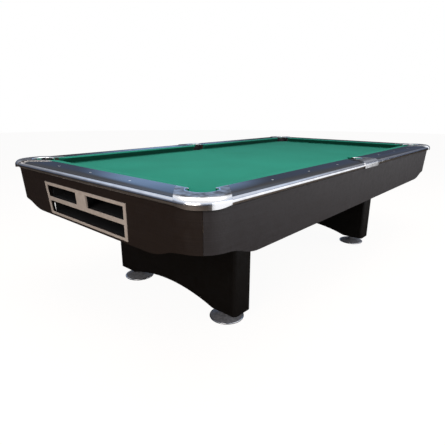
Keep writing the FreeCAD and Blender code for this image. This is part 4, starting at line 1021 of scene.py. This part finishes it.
class POOLTABLE_OT_stage(bpy.types.Operator):
    """Pale floor, soft studio lights and the camera"""
    bl_idname = "pool_table.stage"
    bl_label = "Studio"

    def execute(self, context):
        settings = context.scene.pool_table_stage
        bm = bmesh.new()
        bmesh.ops.create_circle(bm, cap_ends=True, segments=64, radius=settings.floor_size / 2)
        mesh = bpy.data.meshes.new("studio_floor")
        bm.to_mesh(mesh)
        bm.free()
        floor = bpy.data.objects.new("studio_floor", mesh)
        context.scene.collection.objects.link(floor)
        mesh.materials.append(floor_paint())
        studio_world()
        area_light("overhead", settings.key_power, (3.6, 2.4), (-0.7, -0.3, 3.4), (-0.3, 0, 0.8),
                   (1, 1, 1))
        area_light("right_card", settings.side_power, (7.0, 2.2), (1.6, -2.7, 1.1), (1.6, 0, 1.1),
                   (0.95, 0.97, 1.0))
        area_light("foot_fill", settings.foot_power, (2.4, 1.8), (-4.8, -1.5, 2.0), (-1.4, 0, 0.7),
                   (1.0, 0.94, 0.88))
        camera = bpy.data.objects.new("view", bpy.data.cameras.new("view"))
        camera.data.sensor_width = 36
        camera.data.lens = 29.88
        camera.data.clip_end = 200
        place = (-2.276, -1.630, 1.125)
        azimuth, elevation, roll = math.radians(-48.52), math.radians(16.90), math.radians(0.21)
        camera.matrix_world = (Matrix.Translation(place)
                               @ Matrix.Rotation(azimuth, 4, "Z")
                               @ Matrix.Rotation(math.pi / 2 - elevation, 4, "X")
                               @ Matrix.Rotation(roll, 4, "Z"))
        context.scene.collection.objects.link(camera)
        context.scene.camera = camera
        context.scene.view_settings.view_transform = "Standard"
        return {"FINISHED"}


OPERATORS = (POOLTABLE_OT_cloth, POOLTABLE_OT_rails, POOLTABLE_OT_castings, POOLTABLE_OT_cabinet,
             POOLTABLE_OT_frame, POOLTABLE_OT_pedestals, POOLTABLE_OT_stage)


class POOLTABLE_PT_panel(bpy.types.Panel):
    """Every group of pieces and its settings"""
    bl_idname = "POOLTABLE_PT_panel"
    bl_label = "Pool Table"
    bl_space_type = "VIEW_3D"
    bl_region_type = "UI"
    bl_category = "Pool Table"

    def draw(self, context):
        layout = self.layout
        scene = context.scene
        layout.prop(scene.pool_table_cloth, "colour")
        layout.prop(scene.pool_table_cabinet, "edge")
        for name in ("key_power", "side_power", "foot_power", "floor_size"):
            layout.prop(scene.pool_table_stage, name)
        for operator in OPERATORS:
            layout.operator(operator.bl_idname)


GROUPS = {"pool_table_cloth": PoolTableCloth, "pool_table_cabinet": PoolTableCabinet,
          "pool_table_stage": PoolTableStage}
CLASSES = tuple(GROUPS.values()) + OPERATORS + (POOLTABLE_PT_panel,)


def register():
    for item in CLASSES:
        bpy.utils.register_class(item)
    for name, group in GROUPS.items():
        setattr(bpy.types.Scene, name, bpy.props.PointerProperty(type=group))


def unregister():
    for name in GROUPS:
        delattr(bpy.types.Scene, name)
    for item in reversed(CLASSES):
        bpy.utils.unregister_class(item)


def main():
    register()
    for operator in OPERATORS:
        group, name = operator.bl_idname.split(".")
        getattr(getattr(bpy.ops, group), name)()


if __name__ == "__main__":
    main()
